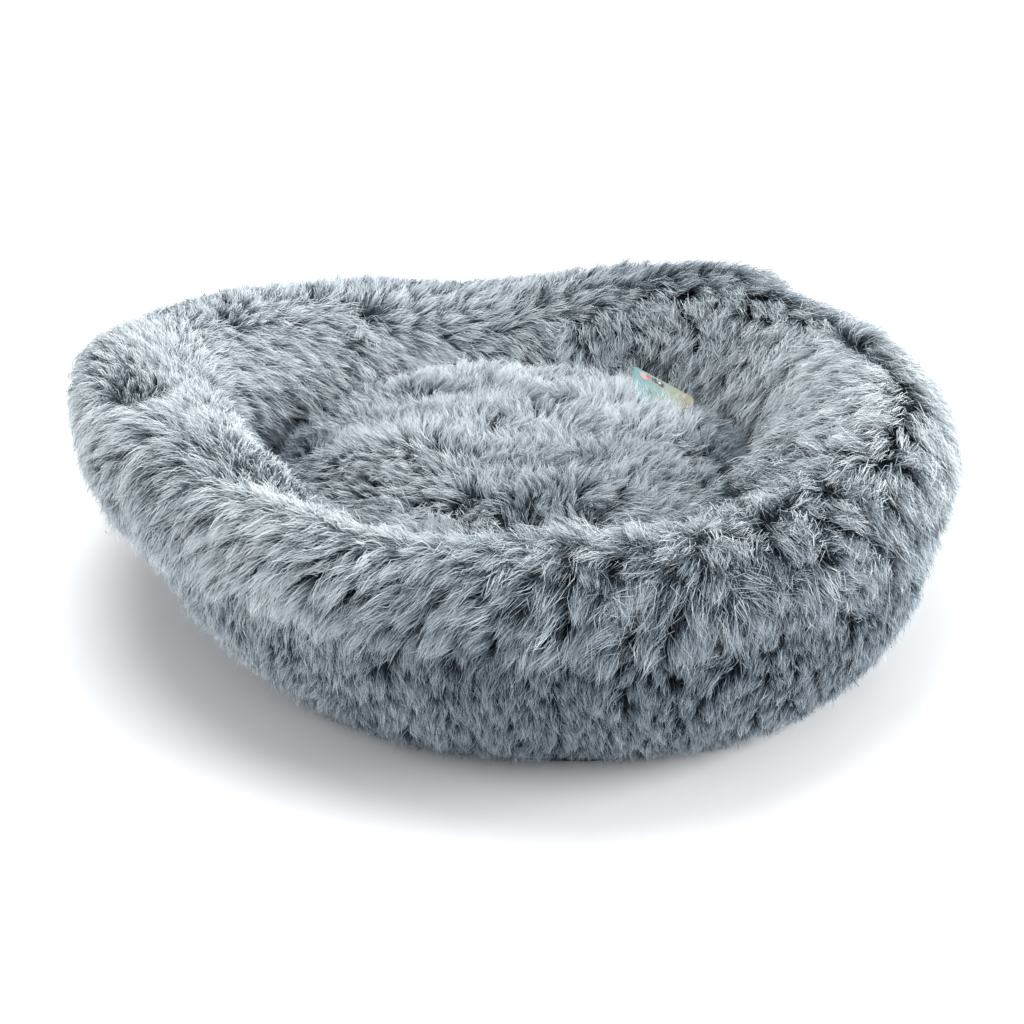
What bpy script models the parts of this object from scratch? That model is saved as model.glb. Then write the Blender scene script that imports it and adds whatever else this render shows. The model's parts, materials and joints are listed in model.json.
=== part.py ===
"""Round plush pet bed: a stuffed fur bolster sewn to a flat base, with a loose fur cushion in its well.

Metres, +Z up. The origin is on the floor, under the middle of the well. Angles are measured round
the well from +X towards +Y, and the front of the bed is at -Y. The bolster leans outwards more on
one side than on the other, and its height and its outer radius change slowly round the bed.
"""
import math

import bmesh
import bpy
from mathutils import Matrix, Vector

# ---- bolster: the stuffed ring -------------------------------------------------------------
WELL_RADIUS = 0.165          # middle of the bed to the bolster's inner face, at half its height
BOLSTER_RADIUS = 0.276       # middle of the bed to the bolster's outer face, at half its height
BOLSTER_SHIFT = (0.009, 18)  # extra outer radius on one side, and the angle where it is largest
BOLSTER_OVAL = (0.013, 116)  # extra outer radius along one diameter, and that diameter's angle
BOLSTER_HEIGHT = 0.142       # floor to ridge, mean
HEIGHT_TILT = (0.017, 265)   # extra height on one side, and its angle
HEIGHT_WAVE = (0.014, 15)    # extra height along one diameter, and its angle
FLARE = 0.43                 # mean outward lean, as radius gained for each metre of height
FLARE_SIDE = (0.24, 149)     # extra lean on one side, and its angle
FLOOR_PRESS = 0.008          # how far the round section is pressed flat by the floor
# Room between a fur panel and the stuffed liner behind it. It grows with the section, whose flat
# facets then stand further from the curve.
LAYER_SLACK = 0.26 * (BOLSTER_RADIUS - WELL_RADIUS) * BOLSTER_HEIGHT

# ---- cloths and paddings -------------------------------------------------------------------
FUR_DEPTH = 0.014            # backing cloth and the dense part of the pile, together
CLOTH = 0.0015               # base cloth
BINDING = 0.0012             # tape folded over the base seam
LINER_CLOTH = 0.0012
LABEL_CLOTH = 0.0006
WADDING = 0.0075             # flat padding between the base cloth and the floor lining
BASE_INSET = 0.001           # base cloth's edge, inside the base seam
BINDING_WIDTH = 0.012
TUBE_GAP = 0.004             # flat padding's edge, inside the stuffed tube
TOUCH = 0.0003               # gap between pieces that lie on each other
SEAM_GAP = 0.0008            # gap between two panels that are sewn edge to edge
STUFFING_SLACK = 0.0035      # room between a liner and its stuffing

# ---- cushion -------------------------------------------------------------------------------
CUSHION_PLAY = 0.006         # least room between the cushion's widest line and the bolster
CUSHION_SEAM_Z = 0.052       # height of the cushion's edge seam
CUSHION_CROWN = 0.046        # seam to the top
CUSHION_BELLY = 0.048        # seam to the underside, before it is pressed flat
CUSHION_ROUNDNESS = 2.6      # 2 is an ellipse, larger is flatter on top
BAG_MOUTH_RADIUS = 0.022     # filling hole under the inner bag, sewn up by hand

# ---- zip in the back of the bolster cover --------------------------------------------------
ZIP_MIDDLE = 95              # angle of the zip's middle
ZIP_SPAN = 52                # angle that its teeth cover
ZIP_END_ROOM = 1.0           # taken off the step of raised cover at each end of the teeth
TAPE_THICKNESS = 0.0008
LOWER_TAPE_WIDTH = 0.0085
UPPER_TAPE_WIDTH = 0.0090
TOOTH_HEIGHT = 0.0026
TOOTH_THICKNESS = 0.0020
TEETH_GAP = 0.0016           # between the two rows, where the slider's wedge runs
ZIP_DEPTH = 0.005            # how far inside the fur's outer face the zip's middle lies
ZIP_LEAN = 35                # how far its tapes lean outwards from upright, with the wall
SLIDER_LENGTH = 0.009
SLIDER_HEIGHT = 0.0084
SLIDER_WALL = 0.0012
SLIDER_PLAY = 0.0004         # running clearance round the teeth
EAR_REACH = 0.0034           # how far the slider's ears stand out to hold the pull's pin
STOP_LENGTH = 0.0025
PIN_RADIUS = 0.0007
PULL_LENGTH = 0.015
PULL_HEIGHT = 0.0044
PULL_THICKNESS = 0.0012
PULL_EYE_RADIUS = 0.0015
PULL_HOLE_PLAY = 0.00025

# ---- swing tag -----------------------------------------------------------------------------
TAG_LENGTH = 0.050
TAG_WIDTH = 0.036
TAG_THICKNESS = 0.0008
TAG_CORNER = 0.0025
TAG_HOLE_RADIUS = 0.0025
TAG_HOLE_MARGIN = 0.005      # hole's centre to the tag's end
TAG_ANGLE = 26               # where on the cushion its fastener is
TAG_INSET = 0.011            # fastener to the cushion's widest line
TAG_HEADING = 184            # direction, seen from above, from the fastener to the free end
TAG_RISE = 31                # slope up to the free end
TAG_ROLL = -15               # twist about the tag's length
LOOP_RADIUS = 0.0058
LOOP_WIRE = 0.0005

# ---- care label ----------------------------------------------------------------------------
LABEL_ANGLE = 150
LABEL_WIDTH = 0.028
LABEL_OUT = 0.022            # beyond the base seam
LABEL_SEWN = 0.008           # inside the base seam

# ---- how finely the round shapes are divided -----------------------------------------------
STEP = 10.0                  # degrees round the bed
SECTION_STEP = 22.5          # degrees round the bolster's section
FULL_TURN = 360.0
CUSHION_ROWS = 7
LOOP_SIDES = 24              # of the tag's loop
WIRE_SIDES = 8               # of the loop's wire
HOLE_SIDES = 16              # of pins, eyes and small holes
CORNER_STEPS = 4             # of the tag's rounded corners
FOOT_ROWS = 3                # rows of a fur panel below the bolster's half height
PANEL_JOIN = 50.0            # angle of the fur panels' first join; the second is opposite


def wave(angle, size_and_direction, count):
    """A swell that is largest at one angle, once or twice round the bed."""
    size, direction = size_and_direction
    return size * math.cos(count * math.radians(angle - direction))


# ---- the bolster's section -----------------------------------------------------------------
class Section:
    """The bolster cut by a radial plane: a leaning ellipse pressed flat by the floor.

    A depth moves the outline inwards at the sides and the ridge, and leaves its foot in place.
    """

    def __init__(self, angle):
        outer = BOLSTER_RADIUS + wave(angle, BOLSTER_SHIFT, 1) + wave(angle, BOLSTER_OVAL, 2)
        top = BOLSTER_HEIGHT + wave(angle, HEIGHT_TILT, 1) + wave(angle, HEIGHT_WAVE, 2)
        self.angle = math.radians(angle)
        self.half_width = (outer - WELL_RADIUS) / 2
        self.half_height = (top + FLOOR_PRESS) / 2
        self.radius = (outer + WELL_RADIUS) / 2
        self.height = top - self.half_height
        self.lean = FLARE + wave(angle, FLARE_SIDE, 1)

    def radial(self, turn, depth):
        """Radius and height at an angle round the section, 0 outwards and 90 at the ridge."""
        turn = math.radians(turn)
        z = self.height - depth / 2 + (self.half_height - depth / 2) * math.sin(turn)
        r = self.radius + (self.half_width - depth) * math.cos(turn) + self.lean * (z - self.height)
        return r, z

    def point(self, turn, depth=0.0, floor=0.0):
        r, z = self.radial(turn, depth)
        return self.place(r, max(z, floor))

    def place(self, r, z):
        return Vector((r * math.cos(self.angle), r * math.sin(self.angle), z))

    def turn_at(self, z, depth):
        """The outer face's turn at a height; 180 less it is the inner face's."""
        return math.degrees(math.asin((z - self.height + depth / 2) / (self.half_height - depth / 2)))

    def outer_radius(self, z, depth=0.0):
        return self.radial(self.turn_at(z, depth), depth)[0]

    def inner_radius(self, z, depth=0.0):
        return self.radial(180 - self.turn_at(z, depth), depth)[0]


# ---- heights that stack on each other ------------------------------------------------------
BINDING_Z = CLOTH + TOUCH
LABEL_Z = BINDING_Z + BINDING + TOUCH
BASE_SEAM_Z = LABEL_Z + LABEL_CLOTH + TOUCH
WADDING_Z = CLOTH + TOUCH
LINING_Z = WADDING_Z + WADDING + TOUCH
INNER_EDGE_Z = LINING_Z + CLOTH
CUSHION_Z = LINING_Z + CLOTH + TOUCH
ALL_ROUND = [STEP * k for k in range(round(FULL_TURN / STEP))]
NARROWEST = min(Section(angle).inner_radius(CUSHION_SEAM_Z) for angle in ALL_ROUND)
CUSHION_RADIUS = NARROWEST - CUSHION_PLAY

# Distances up the zip's slope from its middle, and the heights they give.
TEETH_EDGE = TEETH_GAP / 2 + TOOTH_HEIGHT
ZIP_BELOW = TEETH_EDGE + TOUCH + LOWER_TAPE_WIDTH
ZIP_ABOVE = TEETH_EDGE + TOUCH + UPPER_TAPE_WIDTH
UPRIGHT = math.cos(math.radians(ZIP_LEAN))
OUTWARDS = math.sin(math.radians(ZIP_LEAN))
ZIP_MID_Z = BASE_SEAM_Z + SEAM_GAP + ZIP_BELOW * UPRIGHT
ZIP_TOP = ZIP_MID_Z + ZIP_ABOVE * UPRIGHT + TAPE_THICKNESS


# ---- materials -----------------------------------------------------------------------------
def material(name, colour, roughness, metallic=0.0):
    made = bpy.data.materials.new(name)
    made.use_nodes = True
    shader = made.node_tree.nodes["Principled BSDF"]
    shader.inputs["Base Color"].default_value = (*colour, 1.0)
    shader.inputs["Roughness"].default_value = roughness
    shader.inputs["Metallic"].default_value = metallic
    made.diffuse_color = (*colour, 1.0)
    return made


SLATE = (0.30, 0.33, 0.36)
SILVER = (0.45, 0.48, 0.50)
INK = (0.035, 0.04, 0.05)
WHITE = (0.82, 0.82, 0.80)
STEEL = (0.55, 0.56, 0.58)


# ---- mesh helpers --------------------------------------------------------------------------
def finish(name, mesh, look, smooth_angle=40):
    """Close a bmesh into a named object with outward faces and its own material."""
    bmesh.ops.remove_doubles(mesh, verts=mesh.verts, dist=1e-6)
    bmesh.ops.dissolve_degenerate(mesh, dist=1e-7, edges=mesh.edges)
    bmesh.ops.recalc_face_normals(mesh, faces=mesh.faces)
    data = bpy.data.meshes.new(name)
    mesh.to_mesh(data)
    mesh.free()
    if sum(face.area * face.center.dot(face.normal) for face in data.polygons) < 0:
        data.flip_normals()
    data.shade_smooth()
    data.set_sharp_from_angle(angle=math.radians(smooth_angle))
    data.materials.append(material(name, *look))
    made = bpy.data.objects.new(name, data)
    bpy.context.scene.collection.objects.link(made)
    return made


def loft(name, loops, closed, look):
    """Join equal loops of points side by side, closing the ring or capping its two ends."""
    mesh = bmesh.new()
    rings = [[mesh.verts.new(point) for point in loop] for loop in loops]
    count = len(rings[0])
    pairs = list(zip(rings, rings[1:] + rings[:1])) if closed else list(zip(rings, rings[1:]))
    for ring, following in pairs:
        for here in range(count):
            there = (here + 1) % count
            mesh.faces.new((ring[here], ring[there], following[there], following[here]))
    if not closed:
        for ring in (rings[0], rings[-1]):
            for here in range(count // 2 - 1):
                across = count - 1 - here
                mesh.faces.new((ring[here], ring[here + 1], ring[across - 1], ring[across]))
    return finish(name, mesh, look)


def turned(name, profile, look, on_axis=True):
    """Turn a profile of (radius, height) points about the Z axis.

    A profile on the axis runs from the axis back to the axis; any other is a closed loop.
    """
    mesh = bmesh.new()
    line = [mesh.verts.new((r, 0, z)) for r, z in profile]
    edges = [mesh.edges.new(pair) for pair in zip(line, line[1:])]
    if not on_axis:
        edges.append(mesh.edges.new((line[-1], line[0])))
    bmesh.ops.spin(mesh, geom=line + edges, cent=(0, 0, 0), axis=(0, 0, 1), angle=2 * math.pi,
                   steps=len(ALL_ROUND), use_merge=False, use_duplicate=False)
    return finish(name, mesh, look)


def plate(name, outline, z, thickness, look):
    """A flat sheet with the given outline of (x, y) points."""
    mesh = bmesh.new()
    face = mesh.faces.new([mesh.verts.new((x, y, z)) for x, y in outline])
    made = bmesh.ops.extrude_face_region(mesh, geom=[face])
    raised = [part for part in made["geom"] if isinstance(part, bmesh.types.BMVert)]
    bmesh.ops.translate(mesh, verts=raised, vec=(0, 0, thickness))
    return finish(name, mesh, look)


def angles(first, last, step=STEP):
    """Angles from first to last that keep to the shared divisions in between."""
    inner = [step * k for k in range(math.ceil(first / step - 1e-6) - 1, math.floor(last / step) + 2)]
    return [first] + [a for a in inner if first + 0.1 < a < last - 0.1] + [last]


def spread(first, last, rows):
    return [first + (last - first) * row / rows for row in range(rows + 1)]


def section_turns(low, high):
    """Turns from low to high. All layers share those in between, so that they stay parallel."""
    return angles(low, high, SECTION_STEP)


# ---- bolster -------------------------------------------------------------------------------
def wall_edge(angle):
    """Height of the outer panel's lower edge: the base seam, or over the zip where that is."""
    half = ZIP_SPAN / 2 + STEP - ZIP_END_ROOM
    away = abs((angle - ZIP_MIDDLE + 180) % 360 - 180)
    raised = min(1.0, max(0.0, (half + STEP - away) / STEP))
    return BASE_SEAM_Z + (ZIP_TOP + SEAM_GAP - BASE_SEAM_Z) * raised


def panel_loop(angle, outer_side):
    """One section of a fur panel: its outer face from edge to ridge, then its back face."""
    here = Section(angle)
    gap = math.degrees(SEAM_GAP / 2 / (here.half_width - FUR_DEPTH))
    faces = []
    for depth in (0.0, FUR_DEPTH):
        if outer_side:
            edge = here.turn_at(wall_edge(angle), depth)
            turns = spread(edge, 0, FOOT_ROWS)[:-1] + section_turns(0, 90 - gap)
        else:
            edge = 180 - here.turn_at(INNER_EDGE_Z, depth)
            turns = section_turns(90 + gap, 180) + spread(180, edge, FOOT_ROWS)[1:]
        faces.append([here.point(turn, depth) for turn in turns])
    return faces[0] + faces[1][::-1]


def fur_panels():
    join_gap = math.degrees(SEAM_GAP / 2 / (WELL_RADIUS - FUR_DEPTH))
    halves = ((PANEL_JOIN, PANEL_JOIN + 180), (PANEL_JOIN + 180, PANEL_JOIN + 360))
    names = (("outer_fur_panel_left", "inner_fur_panel_left"),
             ("outer_fur_panel_right", "inner_fur_panel_right"))
    for (start, end), (outer_name, inner_name) in zip(halves, names):
        span = angles(start + join_gap, end - join_gap)
        loft(outer_name, [panel_loop(a, True) for a in span], False, (SLATE, 0.9))
        loft(inner_name, [panel_loop(a, False) for a in span], False, (SILVER, 0.9))


def bolster_core():
    """The cloth tube and its stuffing. The tube's slot underneath is where it is filled."""
    outside = FUR_DEPTH + LAYER_SLACK
    inside = outside + LINER_CLOTH
    stuffing = inside + STUFFING_SLACK
    liner = []
    fill = []
    for angle in ALL_ROUND:
        here = Section(angle)
        turns = section_turns(SECTION_STEP - 90, 270 - SECTION_STEP)
        outer = [here.point(t, outside, BASE_SEAM_Z) for t in turns]
        inner = [here.point(t, inside, BASE_SEAM_Z + LINER_CLOTH) for t in turns]
        liner.append(outer + inner[::-1])
        lift = Vector((0, 0, STUFFING_SLACK / 2))
        fill.append([here.point(t, stuffing, BASE_SEAM_Z + LINER_CLOTH) + lift for t in turns])
    loft("bolster_liner", liner, True, (WHITE, 0.85))
    loft("bolster_stuffing", fill, True, ((0.9, 0.9, 0.88), 0.95))


# ---- base ----------------------------------------------------------------------------------
def all_round(radius_at):
    """Points all round the bed, at the radius that radius_at gives for each section."""
    points = []
    for angle in ALL_ROUND:
        here = Section(angle)
        r = radius_at(here)
        points.append((r * math.cos(here.angle), r * math.sin(here.angle)))
    return points


def base_outline(inset):
    """The base seam, moved inwards by inset."""
    return all_round(lambda here: here.outer_radius(BASE_SEAM_Z) - inset)


def well_outline(inset):
    """The foot of the bolster's inner face at the lining's height, moved inwards by inset."""
    depth = FUR_DEPTH + LAYER_SLACK
    return all_round(lambda here: here.inner_radius(LINING_Z, depth) - inset)


def base():
    plate("base_panel", base_outline(BASE_INSET), 0.0, CLOTH, (INK, 0.8))
    rows = [base_outline(inset) for inset in (BASE_INSET, BASE_INSET + BINDING_WIDTH)]
    loops = []
    for (x0, y0), (x1, y1) in zip(*rows):
        low = BINDING_Z
        high = BINDING_Z + BINDING
        loops.append([(x0, y0, low), (x0, y0, high), (x1, y1, high), (x1, y1, low)])
    loft("base_seam_binding", loops, True, (INK, 0.7))
    # The padding stops short of the stuffed tube; the lining over it reaches the fur panel's edge.
    padding = well_outline(TUBE_GAP)
    plate("base_wadding", padding, WADDING_Z, WADDING, ((0.85, 0.85, 0.83), 0.95))
    plate("floor_lining", well_outline(LAYER_SLACK), LINING_Z, CLOTH - TOUCH, (INK, 0.85))


def care_label():
    here = Section(LABEL_ANGLE)
    seam = here.outer_radius(BASE_SEAM_Z)
    outline = [(seam - LABEL_SEWN, -LABEL_WIDTH / 2), (seam + LABEL_OUT, -LABEL_WIDTH / 2),
               (seam + LABEL_OUT, LABEL_WIDTH / 2), (seam - LABEL_SEWN, LABEL_WIDTH / 2)]
    made = plate("care_label", outline, LABEL_Z, LABEL_CLOTH, (WHITE, 0.5))
    made.rotation_euler = (0, 0, here.angle)


# ---- cushion -------------------------------------------------------------------------------
def cushion_rise(r, radius):
    return math.sqrt(max(0.0, 1 - (r / radius) ** CUSHION_ROUNDNESS))


def cushion_top(r, depth=0.0):
    return CUSHION_SEAM_Z + (CUSHION_CROWN - depth) * cushion_rise(r, CUSHION_RADIUS - depth)


def cushion_bottom(r, depth=0.0):
    low = CUSHION_SEAM_Z - (CUSHION_BELLY - depth) * cushion_rise(r, CUSHION_RADIUS - depth)
    return max(low, CUSHION_Z + depth)


def cushion_line(depth, edge_z, height_at, start=0.0):
    """Profile points from near the axis out to the widest line, closely spaced at the edge."""
    radius = CUSHION_RADIUS - depth
    line = []
    for row in range(CUSHION_ROWS + 1):
        r = radius * math.sin(math.radians(90 * row / CUSHION_ROWS))
        if r >= start:
            line.append((r, height_at(r, depth)))
    if start > 0:
        line.insert(0, (start, height_at(start, depth)))
    line[-1] = (radius, edge_z)
    return line


def cushion():
    seam = SEAM_GAP / 2
    over = CUSHION_SEAM_Z + seam
    under = CUSHION_SEAM_Z - seam
    face = cushion_line(0.0, over, cushion_top)
    back = cushion_line(FUR_DEPTH, over, cushion_top)
    turned("cushion_fur_top", face + back[::-1], (SILVER, 0.9))
    face = cushion_line(0.0, under, cushion_bottom)
    back = cushion_line(CLOTH, under, cushion_bottom)
    turned("cushion_base_cloth", face + back[::-1], (INK, 0.85))
    # The inner bag and its fill keep to the depth of the fur above and of the cloth below.
    bag = FUR_DEPTH + LAYER_SLACK
    inner = bag + LINER_CLOTH
    below = CLOTH + TOUCH

    def bag_bottom(r, depth):
        low = CUSHION_SEAM_Z - (CUSHION_BELLY - depth) * cushion_rise(r, CUSHION_RADIUS - depth)
        return max(low, CUSHION_Z + below + depth - bag)

    top_out = cushion_line(bag, CUSHION_SEAM_Z, cushion_top)
    top_in = cushion_line(inner, CUSHION_SEAM_Z, cushion_top)
    low_out = cushion_line(bag, CUSHION_SEAM_Z, bag_bottom, BAG_MOUTH_RADIUS)
    low_in = cushion_line(inner, CUSHION_SEAM_Z, bag_bottom, BAG_MOUTH_RADIUS)
    outside = top_out[:-1] + low_out[::-1]
    inside = low_in + top_in[-2::-1]
    turned("cushion_inner_bag", outside + inside, (WHITE, 0.85))
    stuffing = inner + STUFFING_SLACK
    top_fill = cushion_line(stuffing, CUSHION_SEAM_Z, cushion_top)
    low_fill = cushion_line(stuffing, CUSHION_SEAM_Z, bag_bottom)
    turned("cushion_stuffing", top_fill[:-1] + low_fill[::-1], ((0.9, 0.9, 0.88), 0.95))


# ---- zip -----------------------------------------------------------------------------------
def circle_through(a, b, c):
    """Centre and radius of the circle through three points in plan."""
    (ax, ay), (bx, by), (cx, cy) = a, b, c
    twice = 2 * (ax * (by - cy) + bx * (cy - ay) + cx * (ay - by))
    sa, sb, sc = ax * ax + ay * ay, bx * bx + by * by, cx * cx + cy * cy
    x = (sa * (by - cy) + sb * (cy - ay) + sc * (ay - by)) / twice
    y = (sa * (cx - bx) + sb * (ax - cx) + sc * (bx - ax)) / twice
    return Vector((x, y, 0)), math.hypot(ax - x, ay - y)


def zip_circle():
    """The zip follows the circle through three points just inside the fur's face."""
    points = []
    for angle in (ZIP_MIDDLE - ZIP_SPAN / 2, ZIP_MIDDLE, ZIP_MIDDLE + ZIP_SPAN / 2):
        here = Section(angle)
        point = here.place(here.outer_radius(ZIP_MID_Z) - ZIP_DEPTH, 0)
        points.append((point.x, point.y))
    centre, radius = circle_through(*points)
    bearing = [math.degrees(math.atan2(y - centre.y, x - centre.x)) for x, y in points]
    return centre, radius, bearing[0], bearing[2]


def arc_bar(name, section, start, end, look, step=3.0):
    """Sweep a section of (radius, height) points about the Z axis between two angles."""
    mesh = bmesh.new()
    face = mesh.faces.new([mesh.verts.new((r, 0, z)) for r, z in section])
    bmesh.ops.rotate(mesh, verts=mesh.verts, cent=(0, 0, 0),
                     matrix=Matrix.Rotation(math.radians(start), 3, "Z"))
    steps = max(1, math.ceil((end - start) / step))
    kept = bmesh.ops.duplicate(mesh, geom=[face])
    cap = [part for part in kept["geom"] if isinstance(part, bmesh.types.BMFace)]
    bmesh.ops.spin(mesh, geom=cap, cent=(0, 0, 0), axis=(0, 0, 1),
                   angle=math.radians(end - start), steps=steps)
    return finish(name, mesh, look, 30)


def on_slope(radius, corners):
    """Turn (distance off the zip's face, distance up its slope) into (radius, height)."""
    return [(radius + off * UPRIGHT + up * OUTWARDS, ZIP_MID_Z + up * UPRIGHT - off * OUTWARDS)
            for off, up in corners]


def strip(radius, thickness, low, high):
    half = thickness / 2
    return on_slope(radius, [(-half, low), (half, low), (half, high), (-half, high)])


def zip_fastener():
    centre, radius, first, last = zip_circle()
    degrees = 180 / math.pi / radius
    stop_arc = STOP_LENGTH * degrees
    slider_arc = SLIDER_LENGTH * degrees
    away = TOUCH * degrees
    tail = stop_arc + 2 * away
    made = []

    low_tape = strip(radius, TAPE_THICKNESS, -ZIP_BELOW, -TEETH_EDGE - TOUCH)
    high_tape = strip(radius, TAPE_THICKNESS, TEETH_EDGE + TOUCH, ZIP_ABOVE)
    low_teeth = strip(radius, TOOTH_THICKNESS, -TEETH_EDGE, -TEETH_GAP / 2)
    high_teeth = strip(radius, TOOTH_THICKNESS, TEETH_GAP / 2, TEETH_EDGE)
    stop = strip(radius, TOOTH_THICKNESS, -TEETH_EDGE, TEETH_EDGE)
    made.append(arc_bar("zip_tape_lower", low_tape, first - tail, last + tail, (INK, 0.8)))
    made.append(arc_bar("zip_tape_upper", high_tape, first - tail, last + tail, (INK, 0.8)))
    made.append(arc_bar("zip_teeth_lower", low_teeth, first, last, (INK, 0.4)))
    made.append(arc_bar("zip_teeth_upper", high_teeth, first, last, (INK, 0.4)))
    metal = (STEEL, 0.3, 1.0)
    made.append(arc_bar("zip_closed_stop", stop, first - away - stop_arc, first - away, metal))
    made.append(arc_bar("zip_open_stop", stop, last + away, last + away + stop_arc, metal))
    for piece in made:
        piece.location = centre

    # The slider: two plates joined by the wedge between the rows, with two ears for the pin.
    side = SLIDER_HEIGHT / 2
    wedge = TEETH_GAP / 2 - SLIDER_PLAY
    inner = TOOTH_THICKNESS / 2 + SLIDER_PLAY
    face = inner + SLIDER_WALL
    ear = face + EAR_REACH
    ear_inside = side - SLIDER_WALL
    upper_half = [(inner, wedge), (inner, side), (ear, side), (ear, ear_inside), (face, ear_inside)]
    lower_half = [(off, -up) for off, up in upper_half[::-1]]
    back = [(-inner, -wedge), (-inner, -side), (-face, -side), (-face, side), (-inner, side),
            (-inner, wedge)]
    section = on_slope(radius, upper_half + lower_half + back)
    slider = arc_bar("zip_slider", section, -slider_arc / 2, slider_arc / 2, metal)

    # What rides on the slider hangs from an empty on the zip's centre, turned to the rest angle.
    rest = first + slider_arc / 2
    carrier = bpy.data.objects.new("zip_carrier", None)
    bpy.context.scene.collection.objects.link(carrier)
    carrier.location = centre
    carrier.rotation_euler = (0, 0, math.radians(rest))
    slider.parent = carrier

    [(pin_r, pin_z)] = on_slope(radius, [(ear - PULL_EYE_RADIUS - TOUCH, 0.0)])
    mesh = bmesh.new()
    bmesh.ops.create_cone(mesh, cap_ends=True, segments=HOLE_SIDES, radius1=PIN_RADIUS,
                          radius2=PIN_RADIUS, depth=2 * (ear_inside - TOUCH))
    pin = finish("zip_pull_pin", mesh, metal)
    pull = zip_pull()
    for piece in (pin, pull):
        piece.parent = carrier
        piece.location = (pin_r, 0, pin_z)
        piece.rotation_euler = (0, math.radians(ZIP_LEAN), 0)
    travel = last - slider_arc / 2 - rest
    return centre, radius, rest, travel, Vector((pin_r, 0, pin_z))


def zip_pull():
    """A flat tab with an eye round the pin. At rest it lies along the zip, towards +Y."""
    half = PULL_THICKNESS / 2
    opening = math.degrees(math.asin(half / PULL_EYE_RADIUS))
    edge = []
    for turn in spread(90 + opening, 450 - opening, HOLE_SIDES):
        turn = math.radians(turn)
        edge.append((PULL_EYE_RADIUS * math.cos(turn), PULL_EYE_RADIUS * math.sin(turn)))
    edge += [(half, PULL_LENGTH), (-half, PULL_LENGTH)]
    pull = plate("zip_pull", edge, -PULL_HEIGHT / 2, PULL_HEIGHT, (STEEL, 0.3, 1.0))
    mesh = bmesh.new()
    hole = PIN_RADIUS + PULL_HOLE_PLAY
    bmesh.ops.create_cone(mesh, cap_ends=True, segments=HOLE_SIDES, radius1=hole, radius2=hole,
                          depth=3 * PULL_HEIGHT)
    cut_with(pull, finish("zip_pull_hole", mesh, (STEEL, 0.3)))
    return pull


def cut_with(target, cutter):
    cutter.hide_render = True
    cutter.display_type = "WIRE"
    cutter.parent = target
    cut = target.modifiers.new("cut", "BOOLEAN")
    cut.operation = "DIFFERENCE"
    cut.solver = "EXACT"
    cut.object = cutter


# ---- swing tag -----------------------------------------------------------------------------
def swing_tag():
    """A card on a plastic loop. Its own X runs from the hole to the free end, Z is its face."""
    r = CUSHION_RADIUS - TAG_INSET
    around = math.radians(TAG_ANGLE)
    turn = (Matrix.Rotation(math.radians(TAG_HEADING), 3, "Z")
            @ Matrix.Rotation(math.radians(-TAG_RISE), 3, "Y")
            @ Matrix.Rotation(math.radians(TAG_ROLL), 3, "X"))
    # The loop stands on the fur. From the hole its middle lies between the card's end and back.
    towards_middle = turn @ Vector((-1, 0, -1)).normalized()
    foot = cushion_top(r - LOOP_RADIUS) + TOUCH + LOOP_WIRE + LOOP_RADIUS
    middle = Vector((r * math.cos(around), r * math.sin(around), foot))
    hole = middle - LOOP_RADIUS * towards_middle

    loops = []
    for along in spread(0, 2 * math.pi, LOOP_SIDES)[:-1]:
        out = Vector((math.cos(along), 0, math.sin(along)))
        loop = []
        for turned_by in spread(0, 2 * math.pi, WIRE_SIDES)[:-1]:
            away = out * math.cos(turned_by) + Vector((0, 1, 0)) * math.sin(turned_by)
            loop.append(out * LOOP_RADIUS + away * LOOP_WIRE)
        loops.append(loop)
    fastener = loft("tag_fastener", loops, True, ((0.9, 0.92, 0.93), 0.3))
    fastener.location = middle
    fastener.rotation_euler = turn.to_euler()

    edge = []
    corners = ((TAG_LENGTH - TAG_HOLE_MARGIN - TAG_CORNER, TAG_WIDTH / 2 - TAG_CORNER, 0),
               (-TAG_HOLE_MARGIN + TAG_CORNER, TAG_WIDTH / 2 - TAG_CORNER, 90),
               (-TAG_HOLE_MARGIN + TAG_CORNER, -TAG_WIDTH / 2 + TAG_CORNER, 180),
               (TAG_LENGTH - TAG_HOLE_MARGIN - TAG_CORNER, -TAG_WIDTH / 2 + TAG_CORNER, 270))
    for x, y, start in corners:
        for degrees in spread(start, start + 90, CORNER_STEPS):
            a = math.radians(degrees)
            edge.append((x + TAG_CORNER * math.cos(a), y + TAG_CORNER * math.sin(a)))
    tag = plate("swing_tag", edge, -TAG_THICKNESS / 2, TAG_THICKNESS, ((0.45, 0.62, 0.60), 0.45))
    mesh = bmesh.new()
    bmesh.ops.create_cone(mesh, cap_ends=True, segments=HOLE_SIDES, radius1=TAG_HOLE_RADIUS,
                          radius2=TAG_HOLE_RADIUS, depth=4 * TAG_THICKNESS)
    cut_with(tag, finish("tag_hole", mesh, (WHITE, 0.5)))
    tag.location = hole
    tag.rotation_euler = turn.to_euler()
    return hole, turn


def main():
    for old in list(bpy.data.objects):
        bpy.data.objects.remove(old, do_unlink=True)
    fur_panels()
    bolster_core()
    base()
    care_label()
    cushion()
    centre, radius, rest, travel, pivot = zip_fastener()
    hole, turn = swing_tag()
    here = centre + Matrix.Rotation(math.radians(rest), 3, "Z") @ pivot
    print("zip centre", [round(v, 5) for v in centre], "radius", round(radius, 5))
    print("slider travel", round(travel, 2), "degrees from", round(rest, 2))
    print("pull pivot", [round(v, 5) for v in here])
    slope = Matrix.Rotation(math.radians(rest), 3, "Z") @ Vector((OUTWARDS, 0, UPRIGHT))
    print("pull axis", [round(v, 5) for v in slope])
    print("tag pivot", [round(v, 5) for v in hole])
    print("tag axis", [round(v, 5) for v in turn @ Vector((0, 1, 0))])


main()
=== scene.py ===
import json
import math

import bpy
import numpy as np
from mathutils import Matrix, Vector
from mathutils.kdtree import KDTree

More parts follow.
